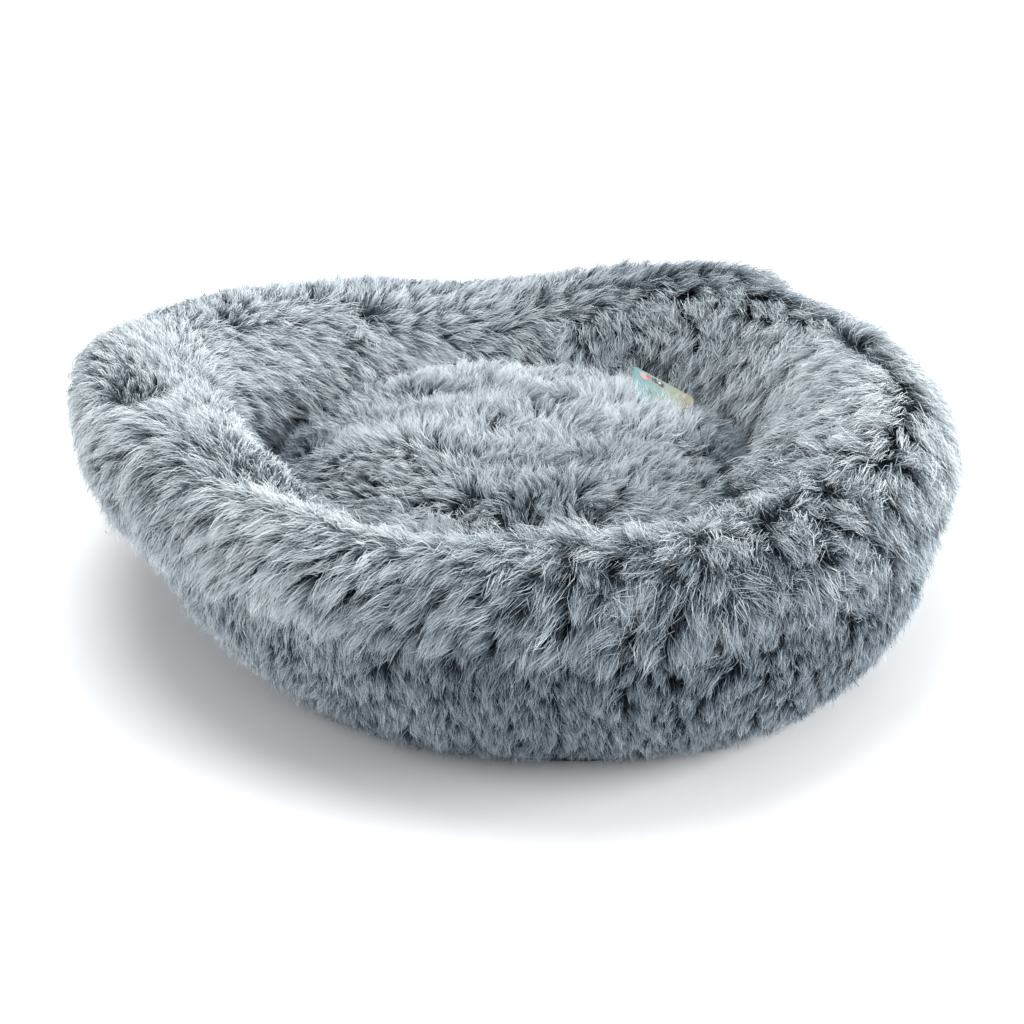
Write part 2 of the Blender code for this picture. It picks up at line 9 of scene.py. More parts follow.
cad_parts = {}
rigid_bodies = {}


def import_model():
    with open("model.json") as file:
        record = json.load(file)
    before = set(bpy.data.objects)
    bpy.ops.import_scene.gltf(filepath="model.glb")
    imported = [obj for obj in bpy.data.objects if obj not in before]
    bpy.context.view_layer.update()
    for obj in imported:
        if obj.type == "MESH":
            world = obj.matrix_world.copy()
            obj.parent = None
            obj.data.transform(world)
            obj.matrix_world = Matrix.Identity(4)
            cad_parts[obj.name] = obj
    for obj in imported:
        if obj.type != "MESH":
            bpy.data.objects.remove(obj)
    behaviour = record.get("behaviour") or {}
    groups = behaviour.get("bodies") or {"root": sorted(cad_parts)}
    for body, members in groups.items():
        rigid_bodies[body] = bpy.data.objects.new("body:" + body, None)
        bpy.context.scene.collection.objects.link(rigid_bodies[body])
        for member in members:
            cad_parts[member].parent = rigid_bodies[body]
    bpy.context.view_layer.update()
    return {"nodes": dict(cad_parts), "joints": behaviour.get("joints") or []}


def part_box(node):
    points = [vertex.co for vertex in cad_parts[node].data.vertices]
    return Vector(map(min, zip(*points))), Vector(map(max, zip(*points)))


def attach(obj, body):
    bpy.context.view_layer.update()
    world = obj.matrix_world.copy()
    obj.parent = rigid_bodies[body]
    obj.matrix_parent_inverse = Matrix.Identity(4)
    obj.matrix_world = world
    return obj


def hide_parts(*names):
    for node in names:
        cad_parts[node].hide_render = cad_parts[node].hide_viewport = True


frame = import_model()

# %% [markdown]
# A plush pet bed is a ring of stuffed fur cloth round a loose fur cushion. Almost all that shows is the
# pile: long frosted fibres, dark at the root and silver at the tip, which gather in small pointed locks.
# The pile could be left to a hair system, but a hair system isn't a mesh, so it can't be exported or
# measured. Here each visible fibre bundle is a thin tapered ribbon of real geometry, and numpy bends and
# places all of them at once.

# %% The camera
EYE_DISTANCE = 1.2                 # from the point looked at
EYE_HEIGHT_ANGLE = 25.0            # degrees above the floor
LOOKED_AT = Vector((0.0, 0.0, 0.09))
LENS = 63.28


def place_camera():
    camera = bpy.data.objects.new("camera", bpy.data.cameras.new("camera"))
    bpy.context.scene.collection.objects.link(camera)
    rise = math.radians(EYE_HEIGHT_ANGLE)
    back = Vector((0.0, -math.cos(rise), math.sin(rise)))
    camera.location = LOOKED_AT + back * EYE_DISTANCE
    camera.rotation_euler = (math.pi / 2 - rise, 0.0, 0.0)
    camera.data.lens = LENS
    camera.data.sensor_width = 36.0
    camera.data.shift_x = -0.0029
    camera.data.shift_y = -0.0674
    camera.data.clip_start = 0.01
    bpy.context.scene.camera = camera
    return camera


camera = place_camera()
print("camera:", [round(v, 3) for v in camera.location])

# %% [markdown]
# The room is plain: a pale floor that curves up into a low wall all round, so that every side has a
# backdrop, a big soft lamp above, weaker ones at the left and the right, and an even white
# surround. A soft, even light lets the dark roots and the silver tips give the contrast, and not the
# shadows.

# %% Helpers for nodes and materials


def shader(name, roughness=0.6, specular=0.3):
    """A new material, with its node tree and its Principled node."""
    material = bpy.data.materials.new(name)
    material.use_nodes = True
    tree = material.node_tree
    principled = tree.nodes["Principled BSDF"]
    principled.inputs["Roughness"].default_value = roughness
    principled.inputs["Specular IOR Level"].default_value = specular
    return material, tree, principled


def add(tree, kind, links=(), **values):
    """A new node with its attributes set and its inputs linked or given a number."""
    node = tree.nodes.new(kind)
    for key, value in values.items():
        setattr(node, key, value)
    for key, value in dict(links).items():
        if isinstance(value, bpy.types.NodeSocket):
            tree.links.new(value, node.inputs[key])
        else:
            node.inputs[key].default_value = value
    return node


def ramp(tree, source, stops):
    """A colour ramp with (place, colour) stops, read at source."""
    node = add(tree, "ShaderNodeValToRGB", {"Fac": source})
    points = node.color_ramp.elements
    while len(points) < len(stops):
        points.new(0.5)
    for point, (place, colour) in zip(points, stops):
        point.position = place
        point.color = (*colour, 1.0)
    return node.outputs["Color"]


# %% Floor and lights
FLOOR_COLOUR = (0.86, 0.87, 0.88)


def make_stage():
    flat, bend, wall_top, around = 2.3, 0.9, 1.75, 96
    line = [(0.02, 0.0), (0.7, 0.0), (1.5, 0.0)]
    for i in range(13):
        turn = math.pi / 2 * i / 12
        line.append((flat + bend * math.sin(turn), bend - bend * math.cos(turn)))
    line.append((flat + bend, wall_top))
    points = [
        (radius * math.cos(2 * math.pi * k / around), radius * math.sin(2 * math.pi * k / around), z)
        for radius, z in line
        for k in range(around)
    ]
    faces = [
        (r * around + k, (r + 1) * around + k,
         (r + 1) * around + (k + 1) % around, r * around + (k + 1) % around)
        for r in range(len(line) - 1)
        for k in range(around)
    ]
    faces.append(tuple(range(around)))
    mesh = bpy.data.meshes.new("floor")
    mesh.from_pydata(points, [], faces)
    mesh.polygons.foreach_set("use_smooth", [True] * len(mesh.polygons))
    floor = bpy.data.objects.new("floor", mesh)
    bpy.context.scene.collection.objects.link(floor)
    material, tree, principled = shader("floor_paint", 0.7, 0.2)
    place = add(tree, "ShaderNodeTexCoord").outputs["Object"]
    grain = add(tree, "ShaderNodeTexNoise", {"Vector": place, "Scale": 3.0})
    pale = tuple(0.97 * c for c in FLOOR_COLOUR)
    tree.links.new(
        ramp(tree, grain.outputs["Fac"], [(0.3, pale), (0.7, FLOOR_COLOUR)]),
        principled.inputs["Base Color"],
    )
    mesh.materials.append(material)
    return floor


def soft_lamp(name, place, size, power):
    lamp = bpy.data.lights.new(name, "AREA")
    lamp.shape = "DISK"
    lamp.size = size
    lamp.energy = power
    holder = bpy.data.objects.new(name, lamp)
    holder.location = place
    holder.rotation_euler = (LOOKED_AT - Vector(place)).to_track_quat("-Z", "Y").to_euler()
    bpy.context.scene.collection.objects.link(holder)
    return holder


make_stage()
soft_lamp("top_lamp", (-0.3, 0.35, 2.2), 1.5, 45.0)
soft_lamp("left_lamp", (-1.9, -0.5, 1.3), 1.2, 7.0)
soft_lamp("right_lamp", (1.85, -0.35, 0.85), 1.2, 44.0)
world = bpy.data.worlds.new("surround")
world.use_nodes = True
world.node_tree.nodes["Background"].inputs["Color"].default_value = (0.98, 0.99, 1.0, 1.0)
world.node_tree.nodes["Background"].inputs["Strength"].default_value = 0.68
bpy.context.scene.world = world
bpy.context.scene.view_settings.view_transform = "Standard"
print("stage: floor and", len(bpy.data.lights), "lamps")

# %% [markdown]
# The bolster is one closed section swept round the well: an ellipse that leans outwards and is pressed a
# little into the floor. Its outer radius, height and lean change slowly round the bed, so the ring looks
# slumped. The numbers are the CAD part's own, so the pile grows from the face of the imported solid.

# %% The bolster's surface
WELL_RADIUS = 0.165
BOLSTER_RADIUS = 0.276
BOLSTER_SHIFT = (0.009, 18)
BOLSTER_OVAL = (0.013, 116)
BOLSTER_HEIGHT = 0.142
HEIGHT_TILT = (0.017, 265)
HEIGHT_WAVE = (0.014, 15)
FLARE = 0.43
FLARE_SIDE = (0.24, 149)
FLOOR_PRESS = 0.008
PANEL_JOIN = 50.0


def wave(angle, change, count):
    """How much a (size, direction) change adds at an angle, count times round the bed."""
    size, direction = change
    return size * np.cos(count * np.radians(angle - direction))


def bolster_point(angle, turn, depth=0.0):
    """Points on the bolster, depth under its face. turn is 0 outwards, 90 on the ridge, 180 inwards."""
    outer = BOLSTER_RADIUS + wave(angle, BOLSTER_SHIFT, 1) + wave(angle, BOLSTER_OVAL, 2)
    top = BOLSTER_HEIGHT + wave(angle, HEIGHT_TILT, 1) + wave(angle, HEIGHT_WAVE, 2)
    half_width = (outer - WELL_RADIUS) / 2 - depth
    half_height = (top + FLOOR_PRESS) / 2
    middle = top - half_height
    lean = FLARE + wave(angle, FLARE_SIDE, 1)
    z = middle - depth / 2 + (half_height - depth / 2) * np.sin(np.radians(turn))
    radius = (outer + WELL_RADIUS) / 2 + half_width * np.cos(np.radians(turn)) + lean * (z - middle)
    around = np.radians(angle)
    return np.stack([radius * np.cos(around), radius * np.sin(around), z], axis=-1)


def near(angle, centre, width):
    """1 at an angle round the bed, falling to 0 over about width degrees."""
    apart = (np.asarray(angle) - centre + 180) % 360 - 180
    return np.exp(-((apart / width) ** 2))


def bump(value, centre, width):
    return np.exp(-(((value - centre) / width) ** 2))


def unit(vectors):
    return vectors / np.maximum(np.linalg.norm(vectors, axis=-1, keepdims=True), 1e-12)


def fringe_turn(angle):
    """The turn at which the long hanging pile ends and the short pile of the foot starts."""
    return 12 + 26 * near(angle, 278, 62)


def swell(angle, turn):
    """How far the stuffing stands out or the cloth pulls in, in metres: dimples, folds and lumps."""
    dents = 0.020 * near(angle, 198, 8) * bump(turn, 104, 13)
    dents = dents + 0.011 * near(angle, 54, 4.5) * bump(turn, 145, 38)
    dents = dents + 0.005 * near(angle, 42, 32) * bump(turn, 96 + 0.2 * (angle - 40), 8)
    dents = dents + 0.011 * near(angle, 262, 40) * bump(turn, 118, 42)
    dents = dents + 0.018 * near(angle, 4, 17) * bump(turn, 174, 26)
    dents = dents + 0.022 * near(angle, 164, 20) * bump(turn, 176, 26)
    dents = dents + 0.006 * near(angle, 137, 9) * bump(turn, 140, 22)
    lumps = 0.0030 * np.sin(np.radians(5 * angle + 40) + 2 * np.sin(np.radians(turn)))
    lumps = lumps + 0.0022 * np.sin(np.radians(11 * angle + 100)) * np.cos(np.radians(2 * turn))
    lumps = lumps + 0.010 * near(angle, 58, 15) * bump(turn, 80, 40)
    lumps = lumps + 0.020 * near(angle, 322, 26) * bump(turn, 146, 26)
    lumps = lumps + 0.014 * near(angle, 196, 28) * bump(turn, 142, 26)
    lumps = lumps + 0.008 * near(angle, 222, 9) * bump(turn, 138, 24)
    step = np.tanh((turn - fringe_turn(angle)) / 8) * bump(turn, 38, 26)
    lumps = lumps + 0.006 * near(angle, 275, 60) * step
    lumps = lumps + 0.010 * near(angle, 172, 34) * bump(turn, 66, 44)
    return lumps + 0.005 * near(angle, 44, 7) * bump(turn, 130, 40) - dents


def bolster_frame(angle, turn, depth):
    """Point, outward normal, direction up the section and direction round the bed, at each place."""
    small = 0.05
    place = bolster_point(angle, turn, depth)
    up = unit(bolster_point(angle, turn + small, depth) - place)
    round_bed = unit(bolster_point(angle + small, turn, depth) - place)
    normal = unit(np.cross(round_bed, up))
    return place + normal * swell(angle, turn)[..., None], normal, up, round_bed


heights = [round(1000 * float(bolster_point(a, 90.0)[2])) for a in (0.0, 90.0, 180.0, 270.0)]
print("bolster: height at right, back, left and front", heights, "mm")

# %% [markdown]
# A lock of pile is a group of fibres that lean on each other. Each lock gets one centre line: it leaves
# the cloth steeply, bends over in the direction in which the pile is brushed, and droops. The fibres of
# the lock start spread about that line and meet near its tip. This gives the pointed tufts with dark
# gaps between them, which evenly scattered hairs never do.

# %% Making locks of fur
JOINTS = 3                         # straight stretches in a fibre
PROFILE = np.array([0.8, 1.0, 0.8])
rng = np.random.default_rng(20)


def ripple(place, seed, scale):
    """A smooth random number, about -1 to 1, for each place. It repeats for the same seed."""
    draw = np.random.default_rng(seed)
    total = 0.0
    for _ in range(5):
        direction = draw.normal(size=3) / scale
        total = total + np.sin(place @ direction + draw.uniform(0, 2 * math.pi))
    return total / 2.2


def lock_lines(root, normal, lay, length, rise, fall, droop):
    """The centre line of each lock. rise and fall are its angles from the normal at the root and the tip."""
    along = (np.arange(JOINTS) + 0.5) / JOINTS
    angle = np.radians(rise[:, None] + (fall - rise)[:, None] * along**0.8)[..., None]
    heading = np.cos(angle) * normal[:, None] + np.sin(angle) * lay[:, None]
    heading[..., 2] -= droop[:, None] * along
    steps = unit(heading) * (length / JOINTS)[:, None, None]
    return np.concatenate([root[:, None], root[:, None] + np.cumsum(steps, axis=1)], axis=1)


def gather_tufts(lines, size, share):
    """Draws each lock towards the leading lock of its tuft, more and more along its length."""
    leaders = np.sort(rng.permutation(len(lines))[: max(1, len(lines) // size)])
    tree = KDTree(len(leaders))
    for number, leader in enumerate(leaders):
        tree.insert(lines[leader, 1], number)
    tree.balance()
    nearest = leaders[[tree.find(point)[1] for point in lines[:, 1]]]
    along = np.linspace(0, 1, JOINTS + 1)[None, :, None] ** 1.3
    return lines + share[:, None, None] * along * (lines[nearest] - lines)


def fibres(lines, normal, length, tone, per_lock, spread, gather, wild):
    """Fibres for each lock: their points, the way each faces, its width and its tone."""
    count = len(lines)
    line = np.repeat(lines, per_lock, axis=0)
    face = np.repeat(normal, per_lock, axis=0)
    many = len(line)
    offset = rng.normal(size=(many, 3)) * np.repeat(spread, per_lock)[:, None]
    offset -= face * (offset * face).sum(axis=1, keepdims=True)
    along = np.linspace(0, 1, JOINTS + 1)[None, :, None]
    stretch = rng.uniform(0.72, 1.08, many)[:, None, None]
    closing = 1 - np.repeat(gather, per_lock)[:, None, None] * along**0.7
    stray = unit(rng.normal(size=(many, 3))) * np.repeat(length, per_lock)[:, None]
    amount = np.abs(rng.normal(size=many)) * np.repeat(wild, per_lock)
    amount = np.where(rng.random(many) < 0.06, amount + 0.28, amount)
    points = line[:, :1] + (line - line[:, :1]) * stretch + offset[:, None] * closing
    points = points + stray[:, None] * amount[:, None, None] * along**1.6
    kink = (0.0006 + 0.4 * np.repeat(wild * length, per_lock))[:, None, None]
    points[:, 1:-1] += rng.normal(size=(many, JOINTS - 1, 3)) * kink
    points[..., 2] = np.maximum(points[..., 2], 0.0008 + 0.002 * rng.random(many)[:, None])
    facing = unit(face + 0.55 * rng.normal(size=(many, 3)))
    width = rng.uniform(0.55, 1.0, many)
    shade = np.clip(np.repeat(tone, per_lock) + rng.normal(size=many) * 0.13, 0.02, 0.98)
    return points, facing, width, shade


def fur_piece(name, points, facing, width, shade, material, body):
    """One mesh of ribbons. Its map runs from root to tip in one direction and by tone in the other."""
    many = len(points)
    flow = np.empty_like(points)
    flow[:, :-1] = points[:, 1:] - points[:, :-1]
    flow[:, -1] = flow[:, -2]
    side = unit(np.cross(flow, facing[:, None]))[:, :JOINTS]
    half = (width[:, None] * PROFILE)[..., None] / 2 * side
    left = points[:, :JOINTS] - half
    right = points[:, :JOINTS] + half
    ring = np.stack([left, right], axis=2).reshape(many, 2 * JOINTS, 3)
    verts = np.concatenate([ring, points[:, -1:]], axis=1).reshape(-1, 3)
    first = (np.arange(many) * (2 * JOINTS + 1))[:, None]
    quads = [(2 * k, 2 * k + 1, 2 * k + 3, 2 * k + 2) for k in range(JOINTS - 1)]
    corners = np.array([c for q in quads for c in q] + [2 * JOINTS - 2, 2 * JOINTS - 1, 2 * JOINTS])
    sizes = np.array([4] * (JOINTS - 1) + [3])
    loops = (first + corners[None]).ravel()
    totals = np.tile(sizes, many)
    mesh = bpy.data.meshes.new(name)
    mesh.vertices.add(len(verts))
    mesh.vertices.foreach_set("co", verts.astype(np.float32).ravel())
    mesh.loops.add(len(loops))
    mesh.loops.foreach_set("vertex_index", loops.astype(np.int32))
    mesh.polygons.add(len(totals))
    mesh.polygons.foreach_set("loop_start", (np.cumsum(totals) - totals).astype(np.int32))
    mesh.polygons.foreach_set("loop_total", totals.astype(np.int32))
    mesh.polygons.foreach_set("use_smooth", np.ones(len(totals), bool))
    along = np.concatenate([np.repeat(np.arange(JOINTS) / JOINTS, 2), [1.0]])
    across = np.concatenate([np.tile([-1.0, 1.0], JOINTS), [0.0]]) * 0.006
    map_x = (np.clip(shade, 0.01, 0.99)[:, None] + across[None])[:, corners]
    map_y = np.broadcast_to(0.01 + 0.98 * along, (many, len(along)))[:, corners]
    layer = mesh.uv_layers.new(name="OFBake")
    layer.uv.foreach_set("vector", np.stack([map_x, map_y], axis=-1).astype(np.float32).ravel())
    mesh.update(calc_edges=True)
    mesh.validate()
    mesh.materials.append(material)
    piece = bpy.data.objects.new(name, mesh)
    bpy.context.scene.collection.objects.link(piece)
    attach(piece, body)
    return piece


# %% [markdown]
# The fibre colour depends only on how far along the fibre it is, and on the fibre's tone, which is partly its
# own and partly painted shade and painted light. So the material reads nothing but the map: dark blue-grey at
# the root, a fast change at the middle, and silver at the tip. Light fibres turn silver earlier than dark
# ones.

# %% The pile's colour
FIBRE_STOPS = [
    (0.00, (0.010, 0.016, 0.020)),
    (0.26, (0.024, 0.035, 0.043)),
    (0.44, (0.135, 0.170, 0.195)),
    (0.62, (0.455, 0.510, 0.540)),
    (1.00, (0.820, 0.860, 0.885)),
]


def pile_material():
    material, tree, principled = shader("frosted_pile", 0.7, 0.15)
    place = add(tree, "ShaderNodeUVMap", uv_map="OFBake").outputs["UV"]
    parts = add(tree, "ShaderNodeSeparateXYZ", {"Vector": place})
    lift = add(tree, "ShaderNodeMath", {0: parts.outputs["X"], 1: 0.36}, operation="MULTIPLY")
    early = add(tree, "ShaderNodeMath", {0: lift.outputs[0], 1: -0.18}, operation="ADD")
    along = add(tree, "ShaderNodeMath", {0: parts.outputs["Y"], 1: early.outputs[0]}, operation="ADD")
    colour = ramp(tree, along.outputs[0], FIBRE_STOPS)
    tint = ramp(tree, parts.outputs["X"], [
        (0.0, (0.62, 0.66, 0.72)), (0.35, (0.86, 0.88, 0.90)),
        (0.6, (0.98, 0.99, 1.0)), (1.0, (1.0, 1.0, 0.99)),
    ])
    mixed = add(tree, "ShaderNodeMix", {0: 1.0, 6: colour, 7: tint}, data_type="RGBA", blend_type="MULTIPLY")
    tree.links.new(mixed.outputs[2], principled.inputs["Base Color"])
    return material


PILE = pile_material()
print("material:", PILE.name)

# %% The bolster's pile
LOCKS_ON_BOLSTER = 44000
PER_LOCK = 12
FIBRE_WIDTH = 0.00058              # the widest fibre
ROOT_DEPTH = 0.009
MOST_FIBRES = 39000                # in one piece


def parting(angle):
    """The turn at which the pile falls to either side, at each angle round the bed."""
    back, left = 34 * near(angle, 98, 34), 46 * near(angle, 192, 34)
    return 100 + back + left - 12 * near(angle, 275, 42) - 24 * near(angle, 338, 24)


WHORLS = [                         # angle, turn, reach in metres, strength: the pile points away from here
    (198, 104, 0.034, 0.95),
    (345, 78, 0.026, 0.45),
    (305, 84, 0.022, 0.80),
    (318, 100, 0.020, 0.75),
    (292, 66, 0.020, 0.70),
    (330, 60, 0.024, 0.60),
    (150, 120, 0.024, 0.60),
    (122, 128, 0.022, 0.60),
    (75, 132, 0.020, 0.50),
    (232, 70, 0.022, 0.50),
]


def bolster_roots(count):
    """Evenly spread (angle, turn) places on the bolster, by area."""
    tries = np.arange(1, int(count * 3.2))
    angle = 360 * ((tries * 0.7548776662) % 1)
    turn = -72 + 322 * ((tries * 0.5698402910) % 1)
    small = 0.1
    place = bolster_point(angle, turn)
    one = bolster_point(angle + small, turn) - place
    two = bolster_point(angle, turn + small) - place
    area = np.linalg.norm(np.cross(one, two), axis=1)
    hidden = (turn > 205) & (place[:, 2] < 0.06)
    want = area * np.where(hidden, 0.35, 1.0)
    kept = rng.random(len(tries)) < want / want.max()
    kept &= place[:, 2] > 0.004
    kept = np.flatnonzero(kept)
    return angle[kept][:count], turn[kept][:count], len(kept)


def comb_bolster(angle, turn):
    """Everything about the locks at these places: direction, length, bend, spread and tone."""
    root, normal, up, round_bed = bolster_frame(angle, turn, ROOT_DEPTH)
    away = np.tanh((turn - parting(angle)) / (9 + 22 * near(angle, 195, 50) + 12 * near(angle, 268, 40)))
    lean = 0.35 + 0.75 * near(angle, 95, 38) * bump(turn, 130, 50)
    lean = lean + 0.35 * near(angle, 225, 40) + 0.20 * near(angle, 280, 30)
    lean = lean * (1 - 0.75 * near(angle, 0, 30) * (turn > 90))
    band = fringe_turn(angle) + 4 * ripple(root, 4, 0.04)
    low = turn < band
    lean = np.where(low, 0.10, lean)
    lean = lean + 0.40 * ripple(root, 3, 0.030)
    lay = unit(up * away[:, None] - round_bed * lean[:, None])
    messy = 0.34 + 0.75 * near(angle, 304, 32) * bump(turn, 60, 55)
    messy = messy + 0.25 * near(angle, 50, 18) * (turn > 90) + 0.15 * near(angle, 20, 30)
    messy = messy - 0.12 * near(angle, 200, 45)
    for centre_angle, centre_turn, reach, strength in WHORLS:
        centre = bolster_point(np.array(centre_angle), np.array(centre_turn))
        apart = root - centre
        weight = strength * np.exp(-((np.linalg.norm(apart, axis=1) / reach) ** 2))[:, None]
        outwards = unit(apart - normal * (apart * normal).sum(axis=1, keepdims=True))
        lay = unit(lay * (1 - weight) + weight * outwards)
    swirl = (ripple(root, 5, 0.008) * 0.9 + rng.normal(size=len(root)) * 0.7) * messy
    cross = np.cross(normal, lay)
    lay = unit(lay * np.cos(swirl)[:, None] + cross * np.sin(swirl)[:, None])
    length = 0.029 + 0.003 * ripple(root, 7, 0.025)
    length = length + 0.005 * near(angle, 268, 42) * bump(turn, 60, 34)
    length = np.where(low, 0.020 - 0.004 * np.clip(-turn / 40, 0, 1), length)
    length = length - 0.004 * near(angle, 308, 32)
    length = length * rng.uniform(0.76, 1.15, len(root))
    length = length * (1 - 0.25 * near(angle, 195, 40) * bump(turn, 110, 60))
    rise = 28 + 10 * rng.normal(size=len(root))
    fall = np.where(low, 80, 96) + 11 * rng.normal(size=len(root)) - 12 * messy
    droop = np.where(turn < 90, 0.5, 0.25)
    spread = 0.0016 + 0.0004 * ripple(root, 9, 0.02) - 0.0005 * near(angle, 195, 45)
    spread = spread + 0.0006 * near(angle, 275, 55) * ~low
    gather = np.clip(0.84 + 0.08 * rng.normal(size=len(root)) + 0.06 * near(angle, 275, 55), 0.3, 0.97)
    gather = gather - 0.35 * near(angle, 195, 40) * bump(turn, 100, 70)
    wild = 0.045 + 0.08 * messy
    tone = 0.52 + 0.10 * ripple(root, 11, 0.03) + 0.08 * rng.normal(size=len(root))
    tone = tone + 0.18 * near(angle, 195, 45) * bump(turn, 100, 70)
    tone = tone + 0.12 * bump(turn, parting(angle) - 4, 18) * near(angle, 265, 50)
    tone = tone + 0.06 * rng.normal(size=len(root)) * (1 + 2 * near(angle, 285, 50))
    # Darker in the left dimple: partly painted shade in the dent, partly the dark roots that show where the
    # pile parts.
    tone = tone - 0.5 * near(angle, 198, 7) * bump(turn, 104, 10)
    # Painted shade: much darker low on the inner wall at the left and the right, in the crevices against the
    # cushion.
    tone = tone - 0.7 * (near(angle, 4, 18) + near(angle, 164, 20)) * bump(turn, 176, 26)
    # Painted shade: the outer wall at the front is darker, as the light comes from above and behind.
    tone = tone - 0.30 * near(angle, 286, 50) * (turn < 80)
    # The foot band under the fringe is darker except at the right: partly painted shade, partly the dark
    # roots that show where its fibres hang down. The foot at the front right gets more painted shade.
    tone = tone - 0.22 * low * (1 - near(angle, 8, 40)) - 0.10 * near(angle, 300, 30) * bump(turn, 45, 40)
    # Painted shade: a darker band low on the back wall's inner face, just above the cushion.
    tone = tone - 0.12 * near(angle, 95, 42) * bump(turn, 150, 26)
    tone = tone - 0.22 * near(angle, 44, 32) * bump(turn, 96 + 0.2 * (angle - 40), 8)
    # Painted light: the right side's outer wall is made much lighter, where the light from the right falls;
    # the whole left side is also made a little lighter.
    tone = tone + 0.44 * near(angle, 3, 44) * (turn < 88) + 0.12 * near(angle, 190, 55)
    # Painted shade: the outer wall at the front right is darker, with a random spread.
    tone = tone + (0.20 * rng.normal(size=len(root)) - 0.28) * near(angle, 302, 30) * (turn < 90)
    return root, normal, lay, length, rise, fall, droop, spread, gather, wild, tone


def grow_bolster():
    angle, turn, found = bolster_roots(LOCKS_ON_BOLSTER)
    root, normal, lay, length, rise, fall, droop, spread, gather, wild, tone = comb_bolster(angle, turn)
    lines = lock_lines(root, normal, lay, length, rise, fall, droop)
    tufted = 0.50 + 0.20 * near(angle, 292, 44) - 0.26 * near(angle, 195, 45)
    tufted = tufted - 0.30 * near(angle, 2, 34) * (turn < 88)
    lines = gather_tufts(lines, 8, tufted * np.where(turn < fringe_turn(angle), 0.7, 1.0))
    points, facing, width, shade = fibres(lines, normal, length, tone, PER_LOCK, spread, gather, wild)
    width = width * FIBRE_WIDTH
    left = np.repeat((angle >= PANEL_JOIN) & (angle < PANEL_JOIN + 180), PER_LOCK)
    outer = np.repeat(turn < 90, PER_LOCK)
    made = []
    for side, on_side in (("left", left), ("right", ~left)):
        for wall, on_wall in (("outer", outer), ("inner", ~outer)):
            chosen = np.flatnonzero(on_side & on_wall)
            parts = np.array_split(chosen, max(1, math.ceil(len(chosen) / MOST_FIBRES)))
            for number, part in enumerate(parts):
                made.append(fur_piece(
                    f"{wall}_fur_{side}_{number + 1}", points[part], facing[part],
                    width[part], shade[part], PILE, "bed",
                ))
    print("bolster pile:", len(root), "of", found, "places,", len(points), "fibres in", len(made), "pieces")
    return made


bolster_fur = grow_bolster()

# %% [markdown]
# Under the pile is the backing cloth, which shows only where the fur parts. Each of the four sewn panels
# gets one smooth sheet a few millimetres under the CAD face, with the same dents as the pile above it.

# %% The backing cloth of the four panels


def knit_material(name, dark, light, scale):
    """A fine knitted cloth: rows of small stitches, with a slow change of tone."""
    material, tree, principled = shader(name, 0.85, 0.15)
    place = add(tree, "ShaderNodeTexCoord").outputs["Object"]
    rows = add(tree, "ShaderNodeTexWave", {"Vector": place, "Scale": scale, "Distortion": 1.5, "Detail": 1.0})
    patch = add(tree, "ShaderNodeTexNoise", {"Vector": place, "Scale": 14.0, "Detail": 3.0})
    both = add(tree, "ShaderNodeMath", {0: rows.outputs["Fac"], 1: patch.outputs["Fac"]},
               operation="MULTIPLY")
    tree.links.new(ramp(tree, both.outputs[0], [(0.1, dark), (0.7, light)]), principled.inputs["Base Color"])
    raised = add(tree, "ShaderNodeBump", {"Height": rows.outputs["Fac"], "Strength": 0.4, "Distance": 0.0005})
    tree.links.new(raised.outputs["Normal"], principled.inputs["Normal"])
    return material


BACKING = knit_material("fur_backing", (0.008, 0.011, 0.014), (0.024, 0.031, 0.037), 900.0)


def mesh_piece(name, verts, faces, material, body, smooth=True):
    mesh = bpy.data.meshes.new(name)
    mesh.from_pydata([tuple(map(float, v)) for v in verts], [], faces)
    mesh.validate()
    mesh.polygons.foreach_set("use_smooth", [smooth] * len(mesh.polygons))
    mesh.materials.append(material)
    piece = bpy.data.objects.new(name, mesh)
    bpy.context.scene.collection.objects.link(piece)
    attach(piece, body)
    return piece


def grid_faces(rows, columns, loop=False):
    """Quads of a grid of rows by columns points, joined round if it loops."""
    last = columns if loop else columns - 1
    return [
        (r * columns + c, r * columns + (c + 1) % columns,
         (r + 1) * columns + (c + 1) % columns, (r + 1) * columns + c)
        for r in range(rows - 1)
        for c in range(last)
    ]


def backing_panel(name, start, low, high, *nodes):
    """A sheet from start to start + 180 degrees round the bed, and from turn low to turn high."""
    angles = np.linspace(start, start + 180, 73)
    turns = np.linspace(low, high, 29)
    angle, turn = np.meshgrid(angles, turns, indexing="ij")
    places = bolster_frame(angle.ravel(), turn.ravel(), 0.0095)[0]
    places[:, 2] = np.maximum(places[:, 2], 0.002)
    piece = mesh_piece(name, places, grid_faces(73, 29), BACKING, "bed")
    thick = piece.modifiers.new("cloth", "SOLIDIFY")
    thick.thickness = 0.0012
    thick.offset = -1.0
    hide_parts(*nodes)
    return piece


backing_panel("outer_backing_left", PANEL_JOIN, -78, 90, "outer_fur_panel_left", "bolster_liner")
backing_panel("outer_backing_right", PANEL_JOIN + 180, -78, 90, "outer_fur_panel_right", "bolster_stuffing")
backing_panel("inner_backing_left", PANEL_JOIN, 90, 254, "inner_fur_panel_left")
backing_panel("inner_backing_right", PANEL_JOIN + 180, 90, 254, "inner_fur_panel_right")
print("backing: 4 panels")

# %% [markdown]
# The loose cushion is a round pad that fills the well: a fur top, a plain underside and a stuffed bag
# inside. Its body starts a little too small, is remeshed into even squares and is blown up by Blender's
# cloth solver, which gives the soft, slightly uneven roundness of a stuffed pad.

